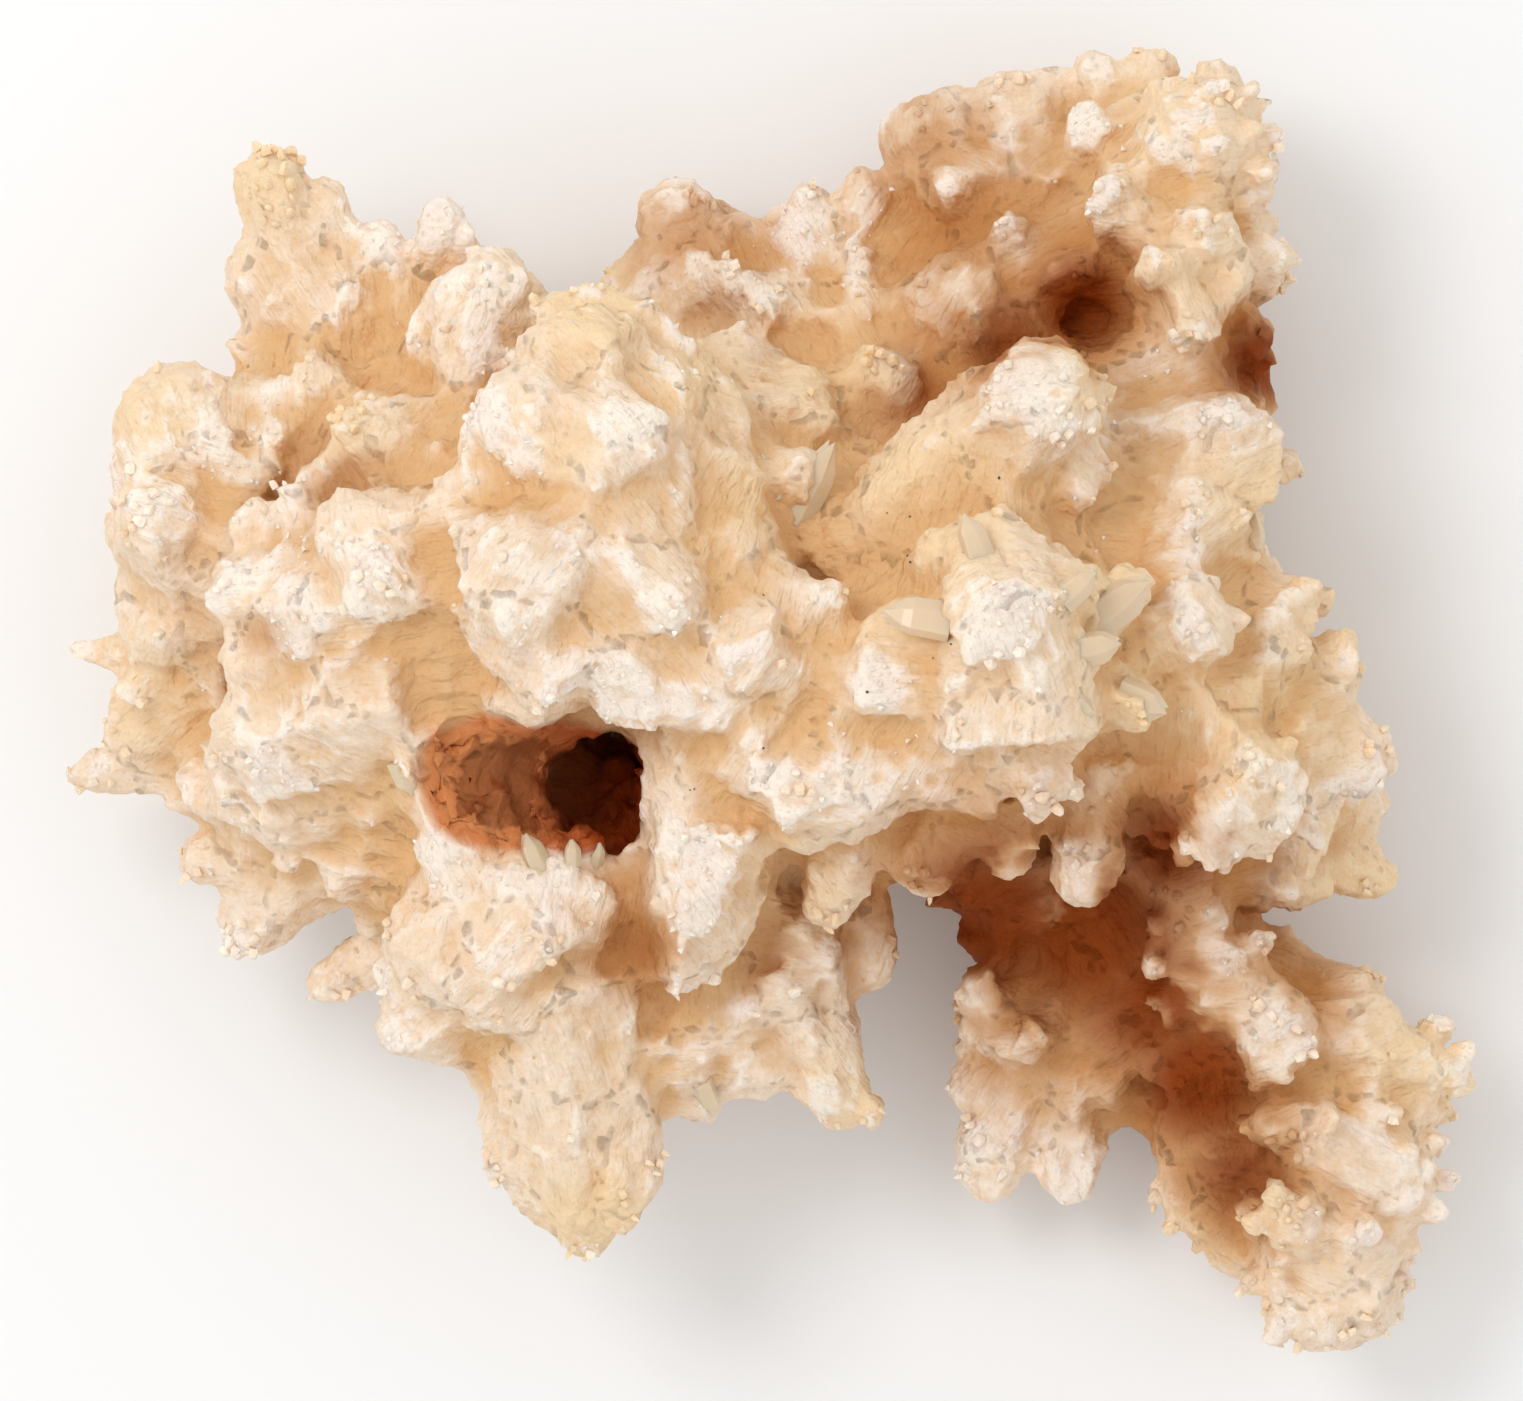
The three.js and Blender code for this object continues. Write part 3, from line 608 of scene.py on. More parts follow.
def nearestSeed(points, seeds):
    tree = KDTree(len(seeds))
    for index, spot in enumerate(seeds):
        tree.insert(spot, index)
    tree.balance()
    pairs = [tree.find_n(p, 2) for p in points.tolist()]
    nearest = np.array([pair[0][1] for pair in pairs])
    gap = np.array([pair[1][2] - pair[0][2] for pair in pairs])
    return nearest, gap


def localFrame(points, seeds, ways, nearest):
    way = ways[nearest]
    side = np.cross(way, np.array([0.31, 0.77, 0.55]))
    side /= np.linalg.norm(side, axis=1, keepdims=True)
    other = np.cross(way, side)
    away = points - seeds[nearest]
    return np.sum(away * side, axis=1), np.sum(away * other, axis=1), way


# six-sided columns on the end of each crystal: distance to the nearest and the next one, and the height
def columns(across, along, nearest, cell, seed):
    dice = np.random.default_rng(seed)
    jitter = dice.random((64, 64, 2))
    levels = dice.random((64, 64))
    shift = dice.random((nearest.max() + 1, 2)) * 64
    u = across / cell + shift[nearest, 0]
    v = along / cell + shift[nearest, 1]
    baseU = np.floor(u).astype(int)
    baseV = np.floor(v).astype(int)
    closest = np.full(len(u), 9.0)
    second = np.full(len(u), 9.0)
    level = np.zeros(len(u))
    for i in (-1, 0, 1):
        for j in (-1, 0, 1):
            cu = (baseU + i) % 64
            cv = (baseV + j) % 64
            du = baseU + i + 0.15 + 0.7 * jitter[cu, cv, 0] - u
            dv = baseV + j + 0.15 + 0.7 * jitter[cu, cv, 1] - v
            slanted = np.maximum(np.abs(0.5 * du + 0.866 * dv), np.abs(0.5 * du - 0.866 * dv))
            apart = np.maximum(np.abs(du), slanted)
            nearer = apart < closest
            second = np.where(nearer, closest, np.minimum(second, apart))
            level = np.where(nearer, levels[cu, cv], level)
            closest = np.where(nearer, apart, closest)
    return closest, second, level


def flowFrames(spots, seed):
    dice = np.random.default_rng(seed)
    out = slopeOf(middleGrid, gridLow, spots, 2 * mm)
    flow = slopeOf(wideGrid, gridLow, spots, 4 * mm) + dice.normal(0, 0.3, spots.shape)
    flow -= out * np.sum(flow * out, axis=1, keepdims=True)
    flow /= np.linalg.norm(flow, axis=1, keepdims=True)
    return flow, np.cross(out, flow), out, dice.random(spots.shape)


def streakPlace(points, nearest, stretch):
    away = points - flowSeeds[nearest]
    scales = (stretch, 1.0, 0.6)
    parts = [np.sum(away * axis[nearest], axis=1) * scale for axis, scale in zip(flowAxes, scales)]
    return np.stack(parts, axis=1) + flowShift[nearest] * 0.05


def streaksAt(points):
    nearest, gap = nearestSeed(points, flowSeeds)
    strength = ramp(gap, 0.2 * mm, 1.4 * mm)
    coarse = latticeNoise(streakPlace(points, nearest, 0.16), 1.3 * mm, 91) * strength
    fine = latticeNoise(streakPlace(points, nearest, 0.2), 0.6 * mm, 93) * strength
    return nearest, gap, coarse, fine


seeds, ways = chooseSeeds(corePoints, growth, 6.5 * mm, 11)
flowSeeds = chooseSeeds(corePoints, growth, 9.0 * mm, 17)[0]
*flowAxes, flowShift = flowFrames(flowSeeds, 19)
say(f"{len(seeds)} crystal directions")
openness = 1 - sample(nearGrid, gridLow, corePoints)
store(core.data, "growth", growth)
patches = roughNoise(corePoints, 14 * mm, 5)
steep = 1 - ramp(normalsOf(core.data)[:, 2], 0.35, 0.7)
toothSpots = [
    (1300, 700, 250, 1.0), (1250, 1100, 280, 1.0), (1000, 1050, 120, 1.0), (1200, 200, 200, 0.8),
    (250, 900, 120, 0.8),
]
wanted = ramp(spotted(corePoints, toothSpots), 0.2, 0.6)
store(core.data, "toothPlaces", ramp(patches, 0.0, 0.4) * ramp(openness, 0.35, 0.5) * steep * wanted)


# crystals that repeat


# width, length, the share of the length that is point, number of sides, how blunt the tip is, and the lean
def crystalMesh(name, width, length, point, sides, blunt, lean):
    verts = []
    rings = [(0.0, 1.0), (0.55, 0.93), (1 - point, 0.8), (1.0, blunt)]
    for height, size in rings:
        for side in range(sides):
            angle = 2 * math.pi * side / sides
            wide = width / 2 * size * (1.12 if side % 2 else 0.92)
            rise = height * length - (0.12 * length * (side % 2) if height == 1.0 else 0)
            verts.append((wide * math.cos(angle) + lean * height * width, wide * math.sin(angle), rise))
    return meshFrom(name, verts, tubeFaces(0, len(rings) - 1, sides))


def crystalFamily(name, rows):
    family = bpy.data.collections.new(name)
    for number, row in enumerate(rows):
        family.objects.link(bpy.data.objects.new(f"{name}{number}", crystalMesh(f"{name}{number}", *row)))
    return family


def crustTree():
    tree = bpy.data.node_groups.new("crystalCrust", "GeometryNodeTree")
    sockets = (
        ("Geometry", "NodeSocketGeometry"),
        ("Crystals", "NodeSocketCollection"),
        ("Spacing", "NodeSocketFloat"),
        ("Density", "NodeSocketFloat"),
        ("Places", "NodeSocketString"),
        ("Smallest", "NodeSocketFloat"),
        ("Largest", "NodeSocketFloat"),
        ("Tilt", "NodeSocketFloat"),
        ("Seed", "NodeSocketInt"),
        ("Material", "NodeSocketMaterial"),
    )
    for label, kind in sockets:
        tree.interface.new_socket(label, in_out="INPUT", socket_type=kind)
    tree.interface.new_socket("Geometry", in_out="OUTPUT", socket_type="NodeSocketGeometry")
    made = {}

    def node(label, kind, **settings):
        made[label] = tree.nodes.new(kind)
        for setting, value in settings.items():
            setattr(made[label], setting, value)
        return made[label]

    def link(start, output, end, entry):
        tree.links.new(made[start].outputs[output], made[end].inputs[entry])

    node("given", "NodeGroupInput")
    node("places", "GeometryNodeInputNamedAttribute", data_type="FLOAT")
    node("growth", "GeometryNodeInputNamedAttribute", data_type="FLOAT_VECTOR")
    made["growth"].inputs["Name"].default_value = "growth"
    node("scatter", "GeometryNodeDistributePointsOnFaces", distribute_method="POISSON")
    node("wobble", "FunctionNodeRandomValue", data_type="FLOAT_VECTOR")
    made["wobble"].inputs[0].default_value = (-1, -1, -1)
    made["wobble"].inputs[1].default_value = (1, 1, 1)
    node("tilted", "ShaderNodeVectorMath", operation="SCALE")
    node("heading", "ShaderNodeVectorMath", operation="ADD")
    node("aim", "FunctionNodeAlignRotationToVector", axis="Z")
    node("turn", "FunctionNodeRandomValue", data_type="FLOAT")
    made["turn"].inputs[3].default_value = math.tau
    node("turnAngles", "ShaderNodeCombineXYZ")
    node("turnRotation", "FunctionNodeEulerToRotation")
    node("spin", "FunctionNodeRotateRotation", rotation_space="LOCAL")
    node("size", "FunctionNodeRandomValue", data_type="FLOAT")
    node("family", "GeometryNodeCollectionInfo")
    made["family"].inputs["Separate Children"].default_value = True
    made["family"].inputs["Reset Children"].default_value = True
    node("place", "GeometryNodeInstanceOnPoints")
    made["place"].inputs["Pick Instance"].default_value = True
    node("realize", "GeometryNodeRealizeInstances")
    node("dress", "GeometryNodeSetMaterial")
    node("result", "NodeGroupOutput")

    link("given", "Geometry", "scatter", "Mesh")
    link("given", "Spacing", "scatter", "Distance Min")
    link("given", "Density", "scatter", "Density Max")
    link("given", "Places", "places", "Name")
    link("places", "Attribute", "scatter", "Density Factor")
    link("given", "Seed", "scatter", "Seed")
    link("given", "Seed", "wobble", "Seed")
    link("wobble", 0, "tilted", 0)
    link("given", "Tilt", "tilted", "Scale")
    link("growth", "Attribute", "heading", 0)
    link("tilted", 0, "heading", 1)
    link("heading", 0, "aim", "Vector")
    link("turn", 1, "turnAngles", "Z")
    link("turnAngles", 0, "turnRotation", 0)
    link("aim", 0, "spin", "Rotation")
    link("turnRotation", 0, "spin", "Rotate By")
    link("given", "Smallest", "size", 2)
    link("given", "Largest", "size", 3)
    link("given", "Crystals", "family", "Collection")
    link("scatter", "Points", "place", "Points")
    link("family", 0, "place", "Instance")
    link("spin", 0, "place", "Rotation")
    link("size", 1, "place", "Scale")
    link("place", 0, "realize", 0)
    link("realize", 0, "dress", "Geometry")
    link("given", "Material", "dress", "Material")
    link("dress", 0, "result", 0)
    return tree


crust = crustTree()


def growCrust(name, ground, values):
    thing = newObject(name, ground.data.copy())
    modifier = thing.modifiers.new(name, "NODES")
    modifier.node_group = crust
    names = {s.name: s.identifier for s in crust.interface.items_tree if s.in_out == "INPUT"}
    for label, value in values.items():
        modifier[names[label]] = value
    return settle(thing)


def plainMaterial(name, values):
    made = bpy.data.materials.new(name)
    made.use_nodes = True
    for label, value in values.items():
        made.node_tree.nodes["Principled BSDF"].inputs[label].default_value = value
    return made


clayLook = {
    "Roughness": 0.6,
    "Subsurface Weight": 0.4,
    "Subsurface Radius": (1.0, 0.55, 0.3),
    "Subsurface Scale": 2.2 * mm,
}
clay = plainMaterial("calcite", clayLook)

teeth = crystalFamily(
    "tooth",
    [
        (0.95, 1.0, 0.4, 6, 0.35, 0.0),
        (1.1, 1.0, 0.35, 6, 0.5, 0.05),
        (0.85, 1.0, 0.45, 6, 0.3, -0.1),
        (1.2, 1.0, 0.35, 6, 0.45, 0.1),
    ],
)
toothValues = {
    "Crystals": teeth,
    "Spacing": 3.2 * mm,
    "Density": 160000.0,
    "Places": "toothPlaces",
    "Smallest": 1.8 * mm,
    "Largest": 3.6 * mm,
    "Tilt": 0.35,
    "Seed": 3,
    "Material": clay,
}
toothCrust = growCrust("toothCrust", core, toothValues)
say(f"tooth crust, {len(toothCrust.data.polygons)} faces")

bodyValues = {
    "voxel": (0.42 * mm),
    "meltTimes": 24,
    "meltEverywhere": 0.25,
    "faceLimit": 199000,
    "boxEase": 1.0 * mm,
}
body = joined("calciteBody", [core.data, toothCrust.data, solids, shapes])
voxels(body, bodyValues["voxel"])
keepMainShell(body)
soften(body, 0.5, 1)

# where the crystals are worn smooth
smoothSpots = [
    (600, 400, 190, 1.0), (560, 600, 130, 0.8), (320, 600, 160, 0.8), (180, 450, 120, 1.0),
    (360, 480, 90, 0.8), (500, 920, 130, 0.8), (560, 1120, 110, 0.8), (1010, 450, 110, 1.0),
    (1020, 620, 90, 0.7), (1210, 480, 110, 0.9), (1260, 800, 80, 0.9), (820, 700, 130, 0.8),
    (920, 180, 150, 0.8), (1020, 300, 120, 0.8), (300, 250, 120, 0.7), (820, 1040, 80, 0.8),
    (1340, 1280, 90, 0.6), (250, 760, 110, 0.7),
]


def melt(thing, weights, times):
    group = thing.vertex_groups.new(name="melt")
    steps = np.clip(np.round(weights * 10), 0, 10).astype(int)
    for level in range(1, 11):
        group.add(np.flatnonzero(steps == level).tolist(), level / 10, "REPLACE")
    modifier = thing.modifiers.new("melt", "SMOOTH")
    modifier.factor = 0.5
    modifier.iterations = times
    modifier.vertex_group = "melt"
    settle(thing)
    thing.vertex_groups.clear()
    return thing


melt(body, bodyValues["meltEverywhere"] + spotted(pointsOf(body.data), smoothSpots), bodyValues["meltTimes"])
say(f"body fused, {len(body.data.polygons)} faces")

# where the frost is soft and hazy
softSpots = [
    (1030, 1040, 200, 1.0), (1250, 1180, 220, 1.0), (1400, 1080, 120, 1.0), (1250, 520, 160, 0.8),
    (1250, 780, 150, 0.8), (800, 1050, 120, 0.8), (590, 1180, 110, 0.6), (120, 700, 110, 0.7),
]
# where the white frost lies thickest
whiteSpots = [
    (480, 400, 60, 0.5), (620, 400, 80, 0.5), (520, 560, 60, 0.4), (1040, 425, 60, 0.6),
    (1010, 640, 80, 0.5), (700, 900, 70, 0.6), (760, 290, 50, 0.6), (800, 470, 40, 0.4),
    (1200, 115, 60, 0.6), (430, 1000, 60, 0.4), (560, 1170, 50, 0.5), (170, 480, 70, 0.5),
    (1290, 610, 40, 0.5), (1270, 800, 60, 0.4), (1200, 440, 60, 0.3), (1290, 1055, 40, 0.6),
    (1330, 1260, 70, 0.5), (1340, 1150, 40, 0.4), (1180, 350, 40, 0.4), (600, 650, 60, 0.4),
    (320, 590, 80, 0.3), (1040, 1150, 40, 0.4), (300, 560, 60, 0.3), (470, 850, 50, 0.3),
]
# where the stone is honey-coloured
honeySpots = [
    (1180, 130, 90, 0.5), (1190, 280, 80, 0.5), (1330, 620, 80, 0.6), (600, 300, 60, 1.0),
    (700, 380, 50, 1.0), (745, 500, 40, 1.0), (930, 500, 90, 1.0), (1090, 360, 60, 0.8),
    (1110, 600, 60, 1.0), (590, 1230, 60, 1.0), (260, 180, 60, 0.7), (150, 420, 60, 0.7),
    (900, 600, 60, 0.8), (1150, 700, 60, 1.0), (1260, 720, 80, 0.9), (1260, 500, 70, 0.7),
    (1360, 900, 80, 0.9), (840, 380, 60, 0.9), (1420, 1060, 70, 0.8), (1230, 1200, 80, 0.8),
    (860, 1100, 50, 0.6), (560, 450, 40, 0.5), (340, 420, 60, 0.6), (140, 700, 60, 0.6),
    (800, 900, 60, 0.5),
]


def snowOn(points, normals, openness, streak):
    snow = 0.4 * normals[:, 2] + 1.0 * (openness - 0.6) + 0.35 * roughNoise(points, 8 * mm, 21)
    snow = snow + 0.2 * roughNoise(points, 1.6 * mm, 31) + 0.16 * streak
    return snow + 0.5 * spotted(points, whiteSpots) - 0.3 * spotted(points, honeySpots)


# relief: lumps, fibres, ragged frost on the tops and fine grain, in millimetres
relief = {
    "frostEdge": 0.25,
    "lumps": 0.1,
    "coarseStreaks": 0.26,
    "fineStreaks": 0.2,
    "grain": 0.12,
    "creases": 0.5,
    "creaseLevel": 0.12,
}
# six-sided columns: size, height, slope of their ends and depth of their grooves in millimetres, and a seed
columnRows = ((3.4, 0.3, 0.4, 0.3, 61), (1.4, 0.25, 0.25, 0.2, 71))
points = pointsOf(body.data)
normals = normalsOf(body.data)
openness = 1 - sample(nearGrid, gridLow, points + normals * 0.6 * mm)
nearest, gap = nearestSeed(points, seeds)
across, along, way = localFrame(points, seeds, ways, nearest)
facing = np.clip(np.sum(normals * way, axis=1), -1, 1)
endwise = ramp(facing, 0.1, 0.7)
coarseStreak, fineStreak = streaksAt(points)[2:]
snowEdge = ramp(snowOn(points, normals, openness, coarseStreak + fineStreak), 0.4, 0.62)
for cell, height, slope, flute, seed in columnRows:
    closest, second, level = columns(across, along, nearest, cell * mm, seed)
    rise = (level - 0.5) * height + (0.35 - closest) * slope
    points = points + way * (rise * endwise * mm)[:, None]
    groove = (np.clip(second - closest, 0, 0.35) - 0.2) * flute / 0.2
    points = points + normals * (groove * (1 - endwise) * mm)[:, None]
lift = relief["frostEdge"] * snowEdge * (1 - 0.8 * spotted(points, softSpots))
lift = lift + relief["lumps"] * roughNoise(points, 3.2 * mm, 41)
lift = lift + relief["coarseStreaks"] * coarseStreak + relief["fineStreaks"] * fineStreak
lift = lift + relief["grain"] * latticeNoise(points, 0.8 * mm, 51)
lift = lift - relief["creases"] * np.abs(roughNoise(points, 2.6 * mm, 45)) + relief["creaseLevel"]
lift = lift * (0.25 + 0.75 * ramp(normals[:, 2], -0.6, 0.0))
points = points + normals * (lift * mm)[:, None]

# the stone stays inside the CAD box, easing off over the last millimetre
lowest = np.array(cadLow)
highest = np.array(cadHigh)
ease = bodyValues["boxEase"]
for axis in range(3):
    over = points[:, axis] - (highest[axis] - ease)
    points[:, axis] = np.where(over > 0, highest[axis] - ease + ease * np.tanh(over / ease), points[:, axis])
    if axis < 2:
        under = (lowest[axis] + ease) - points[:, axis]
        eased = lowest[axis] + ease - ease * np.tanh(under / ease)
        points[:, axis] = np.where(under > 0, eased, points[:, axis])
points[:, 2] = np.maximum(points[:, 2], 0.0)
movePoints(body.data, points)
soften(body, 0.5, 1)
carve(body, formMesh("pocket", [pocketCuts]))


def inPocket(points):
    found = np.zeros(len(points))
    for rootX, rootY, tipX, tipY, width, taper, rootZ, tipZ in pocketCuts:
        root = np.array(atPixel(rootX, rootY, rootZ * mm))
        span = np.array(atPixel(tipX, tipY, tipZ * mm)) - root
        part = np.clip((points - root) @ span / (span @ span), 0, 1.1)
        apart = np.linalg.norm(points - root - part[:, None] * span, axis=1)
        found = np.maximum(found, 1 - ramp(apart, width * pixelSize * 0.54, width * pixelSize * 0.62))
    return found


points = pointsOf(body.data)
pocketLift = 1.6 * roughNoise(points, 8 * mm, 61) + 0.6 * roughNoise(points, 3 * mm, 63)
movePoints(body.data, points + normalsOf(body.data) * (inPocket(points) * pocketLift * mm)[:, None])
say("relief done")

# where the painted shade in the recesses is darkest and brownest
deepSpots = [
    (1010, 930, 110, 1.0), (1090, 900, 90, 1.0), (1170, 860, 70, 0.8), (1110, 1000, 90, 1.0),
    (1190, 1060, 80, 1.0), (1230, 1140, 70, 0.8), (1000, 1040, 90, 0.6), (1270, 900, 70, 0.7),
    (1300, 1000, 60, 0.5), (610, 800, 60, 1.0), (1080, 300, 70, 1.0), (1270, 360, 60, 1.0),
    (930, 390, 50, 1.0), (690, 240, 90, 0.5), (930, 130, 100, 0.6), (980, 200, 90, 0.5),
    (640, 940, 60, 0.7), (800, 960, 70, 0.6), (870, 940, 60, 0.7), (1240, 380, 60, 0.6),
    (340, 480, 50, 0.5),
]
# where the surface itself is stained brown
brownSpots = [
    (690, 240, 90, 0.4), (930, 140, 90, 0.4), (960, 230, 90, 0.5), (1010, 340, 80, 0.8),
    (1080, 305, 70, 1.0), (1265, 362, 60, 1.0), (990, 915, 110, 1.0), (1090, 930, 120, 1.0),
    (1165, 850, 80, 0.9), (1150, 1000, 110, 0.9), (1040, 1010, 100, 0.6), (1200, 1080, 90, 1.0),
    (1240, 1170, 80, 0.8), (1290, 1000, 80, 0.5), (640, 950, 50, 0.6), (265, 635, 30, 0.35),
]


# what the material reads from the surface, one attribute for each fact
def surfaceFacts(mesh):
    points = pointsOf(mesh)
    normals = normalsOf(mesh)
    openness = 1 - sample(nearGrid, gridLow, points + normals * 0.6 * mm)
    middleOpenness = 1 - sample(middleGrid, gridLow, points + normals * 0.6 * mm)
    broadOpenness = 1 - sample(wideGrid, gridLow, points)
    nearest, gap, coarse, fine = streaksAt(points)
    snow = snowOn(points, normals, openness, coarse + fine)
    # painted shade: creases and narrow recesses, found from how closed the solid is around each point, are
    # darkened in the material
    creviceShade = ramp(0.68 - openness, 0.0, 0.22) * 0.6 + ramp(0.64 - middleOpenness, 0.0, 0.24) * 0.55
    soft = spotted(points, softSpots)
    store(mesh, "frost", ramp(snow, 0.2 - 0.2 * soft, 0.8 + 0.3 * soft))
    store(mesh, "deep", spotted(points, deepSpots))
    store(mesh, "creviceShade", np.clip(creviceShade, 0, 1))
    # painted shade: how deep a point lies in the broad solid, used to darken deep recesses
    store(mesh, "depth", 1 - ramp(broadOpenness, 0.25, 0.6))
    pocket = inPocket(points)
    store(mesh, "pocket", pocket)
    # painted shade in the pocket, darker towards its right end
    store(mesh, "pocketShadeRamp", ramp(toPixels(points)[0], 470, 630))
    rim = ramp(openness, 0.66, 0.78) * ramp(roughNoise(points, 6 * mm, 87), -0.1, 0.3)
    store(mesh, "rimPlaces", rim * (1 - pocket) * ramp(normals[:, 2], 0.2, 0.45))
    store(mesh, "fibres", streakPlace(points, nearest, 0.12))
    store(mesh, "fibreStrength", ramp(gap, 0.6 * mm, 1.6 * mm))
    patchy = 0.5 * roughNoise(points, 5 * mm, 73)
    sunk = ramp(0.84 - middleOpenness + 0.2 * patchy, -0.05, 0.3)
    brown = spotted(points, brownSpots) * np.clip(0.25 + 1.1 * sunk + 0.4 * patchy, 0, 1)
    ring = spotted(points, [(512, 540, 40, 1.0)]) * (1 - spotted(points, [(508, 544, 30, 1.6)]))
    store(mesh, "brown", np.clip(brown + 0.55 * ring, 0, 1))
    store(mesh, "honey", np.clip(0.25 + spotted(points, honeySpots), 0, 1))
    store(mesh, "growth", slopeOf(middleGrid, gridLow, points, 2 * mm))
    clean = (1 - soft) * (1 - pocket) * (1 - ramp(brown, 0.1, 0.4))
    store(mesh, "sugarPlaces", ramp(snow, 0.5, 0.75) * ramp(points[:, 2], 2 * mm, 4 * mm) * clean)


body.data.calc_loop_triangles()
thinner = body.modifiers.new("thinner", "DECIMATE")
thinner.ratio = bodyValues["faceLimit"] / len(body.data.loop_triangles)
thinner.use_collapse_triangulate = True
settle(body)
surfaceFacts(body.data)
body.data.materials.clear()
body.data.materials.append(clay)
body.data.shade_smooth()
say(f"body thinned, {len(body.data.polygons)} triangles")

nodes = clay.node_tree.nodes
links = clay.node_tree.links
shader = nodes["Principled BSDF"]
shader.subsurface_method = "BURLEY"


def attribute(name):
    found = nodes.new("ShaderNodeAttribute")
    found.attribute_name = name
    return found.outputs["Fac"]


def blend(factor, first, second):
    mix = nodes.new("ShaderNodeMix")
    mix.data_type = "RGBA"
    links.new(factor, mix.inputs["Factor"])
    for entry, value in ((6, first), (7, second)):
        if isinstance(value, tuple):
            mix.inputs[entry].default_value = (*value, 1)
        else:
            links.new(value, mix.inputs[entry])
    return mix.outputs[2]


def texture(kind, vector, scale, **settings):
    found = nodes.new(kind)
    found.inputs["Scale"].default_value = scale
    for label, value in settings.items():
        found.inputs[label].default_value = value
    links.new(vector, found.inputs["Vector"])
    return found.outputs[0]


def spread(value, low, high, start=0.0, end=1.0):
    found = nodes.new("ShaderNodeMapRange")
    found.interpolation_type = "SMOOTHSTEP"
    for entry, number in zip(("From Min", "From Max", "To Min", "To Max"), (low, high, start, end)):
        found.inputs[entry].default_value = number
    links.new(value, found.inputs["Value"])
    return found.outputs["Result"]


def combine(operation, first, second):
    found = nodes.new("ShaderNodeMath")
    found.operation = operation
    for entry, value in enumerate((first, second)):
        if isinstance(value, float):
            found.inputs[entry].default_value = value
        else:
            links.new(value, found.inputs[entry])
    return found.outputs[0]


def bump(height, distance, strength, under=None):
    found = nodes.new("ShaderNodeBump")
    found.inputs["Strength"].default_value = strength
    found.inputs["Distance"].default_value = distance
    links.new(height, found.inputs["Height"])
    if under is not None:
        links.new(under, found.inputs["Normal"])
    return found.outputs["Normal"]


place = nodes.new("ShaderNodeTexCoord").outputs["Object"]
fibreNode = nodes.new("ShaderNodeAttribute")
fibreNode.attribute_name = "fibres"
fibrePlace = fibreNode.outputs["Vector"]
grain = texture("ShaderNodeTexNoise", place, 1400.0, Detail=3.0, Roughness=0.7)
cloud = texture("ShaderNodeTexNoise", place, 160.0, Detail=4.0, Roughness=0.6)
fibre = texture("ShaderNodeTexNoise", fibrePlace, 900.0, Detail=2.0, Roughness=0.6)
fibre = combine("MULTIPLY", combine("SUBTRACT", fibre, 0.5), attribute("fibreStrength"))
sugar = texture("ShaderNodeTexVoronoi", place, 1300.0)
mottle = texture("ShaderNodeTexNoise", place, 560.0, Detail=5.0, Roughness=0.75)
fine = texture("ShaderNodeTexNoise", place, 1900.0, Detail=2.0, Roughness=0.6)

frostMask = combine("ADD", attribute("frost"), combine("MULTIPLY", combine("SUBTRACT", grain, 0.5), 0.8))
frostMask = spread(frostMask, 0.25, 0.85)
colour = blend(spread(cloud, 0.35, 0.65), (0.85, 0.61, 0.41), (0.87, 0.70, 0.54))
colour = blend(spread(fibre, -0.15, 0.25, 0.0, 0.5), colour, (0.92, 0.79, 0.62))
colour = blend(spread(mottle, 0.42, 0.58, 0.0, 0.8), colour, (0.92, 0.79, 0.68))
colour = blend(combine("MULTIPLY", attribute("honey"), 0.85), colour, (0.88, 0.65, 0.37))
snowColour = blend(spread(cloud, 0.4, 0.6), (0.94, 0.82, 0.735), (0.96, 0.87, 0.76))
snowColour = blend(combine("MULTIPLY", attribute("honey"), 0.5), snowColour, (0.94, 0.82, 0.63))
colour = blend(frostMask, colour, snowColour)
colour = blend(spread(fine, 0.5, 0.75, 0.0, 0.35), colour, (0.83, 0.58, 0.40))
# painted shade: recesses and creases are darkened towards orange and deep brown, darkest at the listed spots
hollowShade = blend(attribute("deep"), (0.76, 0.48, 0.24), (0.34, 0.09, 0.018))
colour = blend(combine("MULTIPLY", attribute("depth"), 0.5), colour, hollowShade)
colour = blend(attribute("creviceShade"), colour, hollowShade)
colour = blend(spread(attribute("brown"), 0.0, 0.5, 0.0, 0.9), colour, (0.60, 0.29, 0.10))
colour = blend(spread(attribute("brown"), 0.3, 0.95), colour, (0.27, 0.052, 0.006))
# painted shade: the pocket is coloured dark orange-brown, darkening towards its right end
pocketShadeColour = blend(attribute("pocketShadeRamp"), (0.66, 0.25, 0.09), (0.36, 0.05, 0.005))
colour = blend(attribute("pocket"), colour, pocketShadeColour)
# less specular where the surface is stained brown and where the pocket and creases carry painted shade
shade = combine("MAXIMUM", attribute("brown"), attribute("pocket"))
shade = combine("MAXIMUM", shade, attribute("creviceShade"))
links.new(spread(shade, 0.0, 1.0, 0.5, 0.08), shader.inputs["Specular IOR Level"])
links.new(colour, shader.inputs["Base Color"])
surface = bump(fibre, 0.9 * mm, 0.8)
surface = bump(sugar, 0.25 * mm, 0.5, surface)
surface = bump(grain, 0.35 * mm, 0.6, surface)
links.new(surface, shader.inputs["Normal"])

# loose crystals on the surface: sugar on the white patches, small teeth along the edges

sugarLook = {
    "Base Color": (0.94, 0.84, 0.73, 1),
    "Roughness": 0.35,
    "Subsurface Weight": 0.3,
    "Subsurface Radius": (1.0, 0.55, 0.3),
    "Subsurface Scale": 1.0 * mm,
}
icing = plainMaterial("sugar", sugarLook)

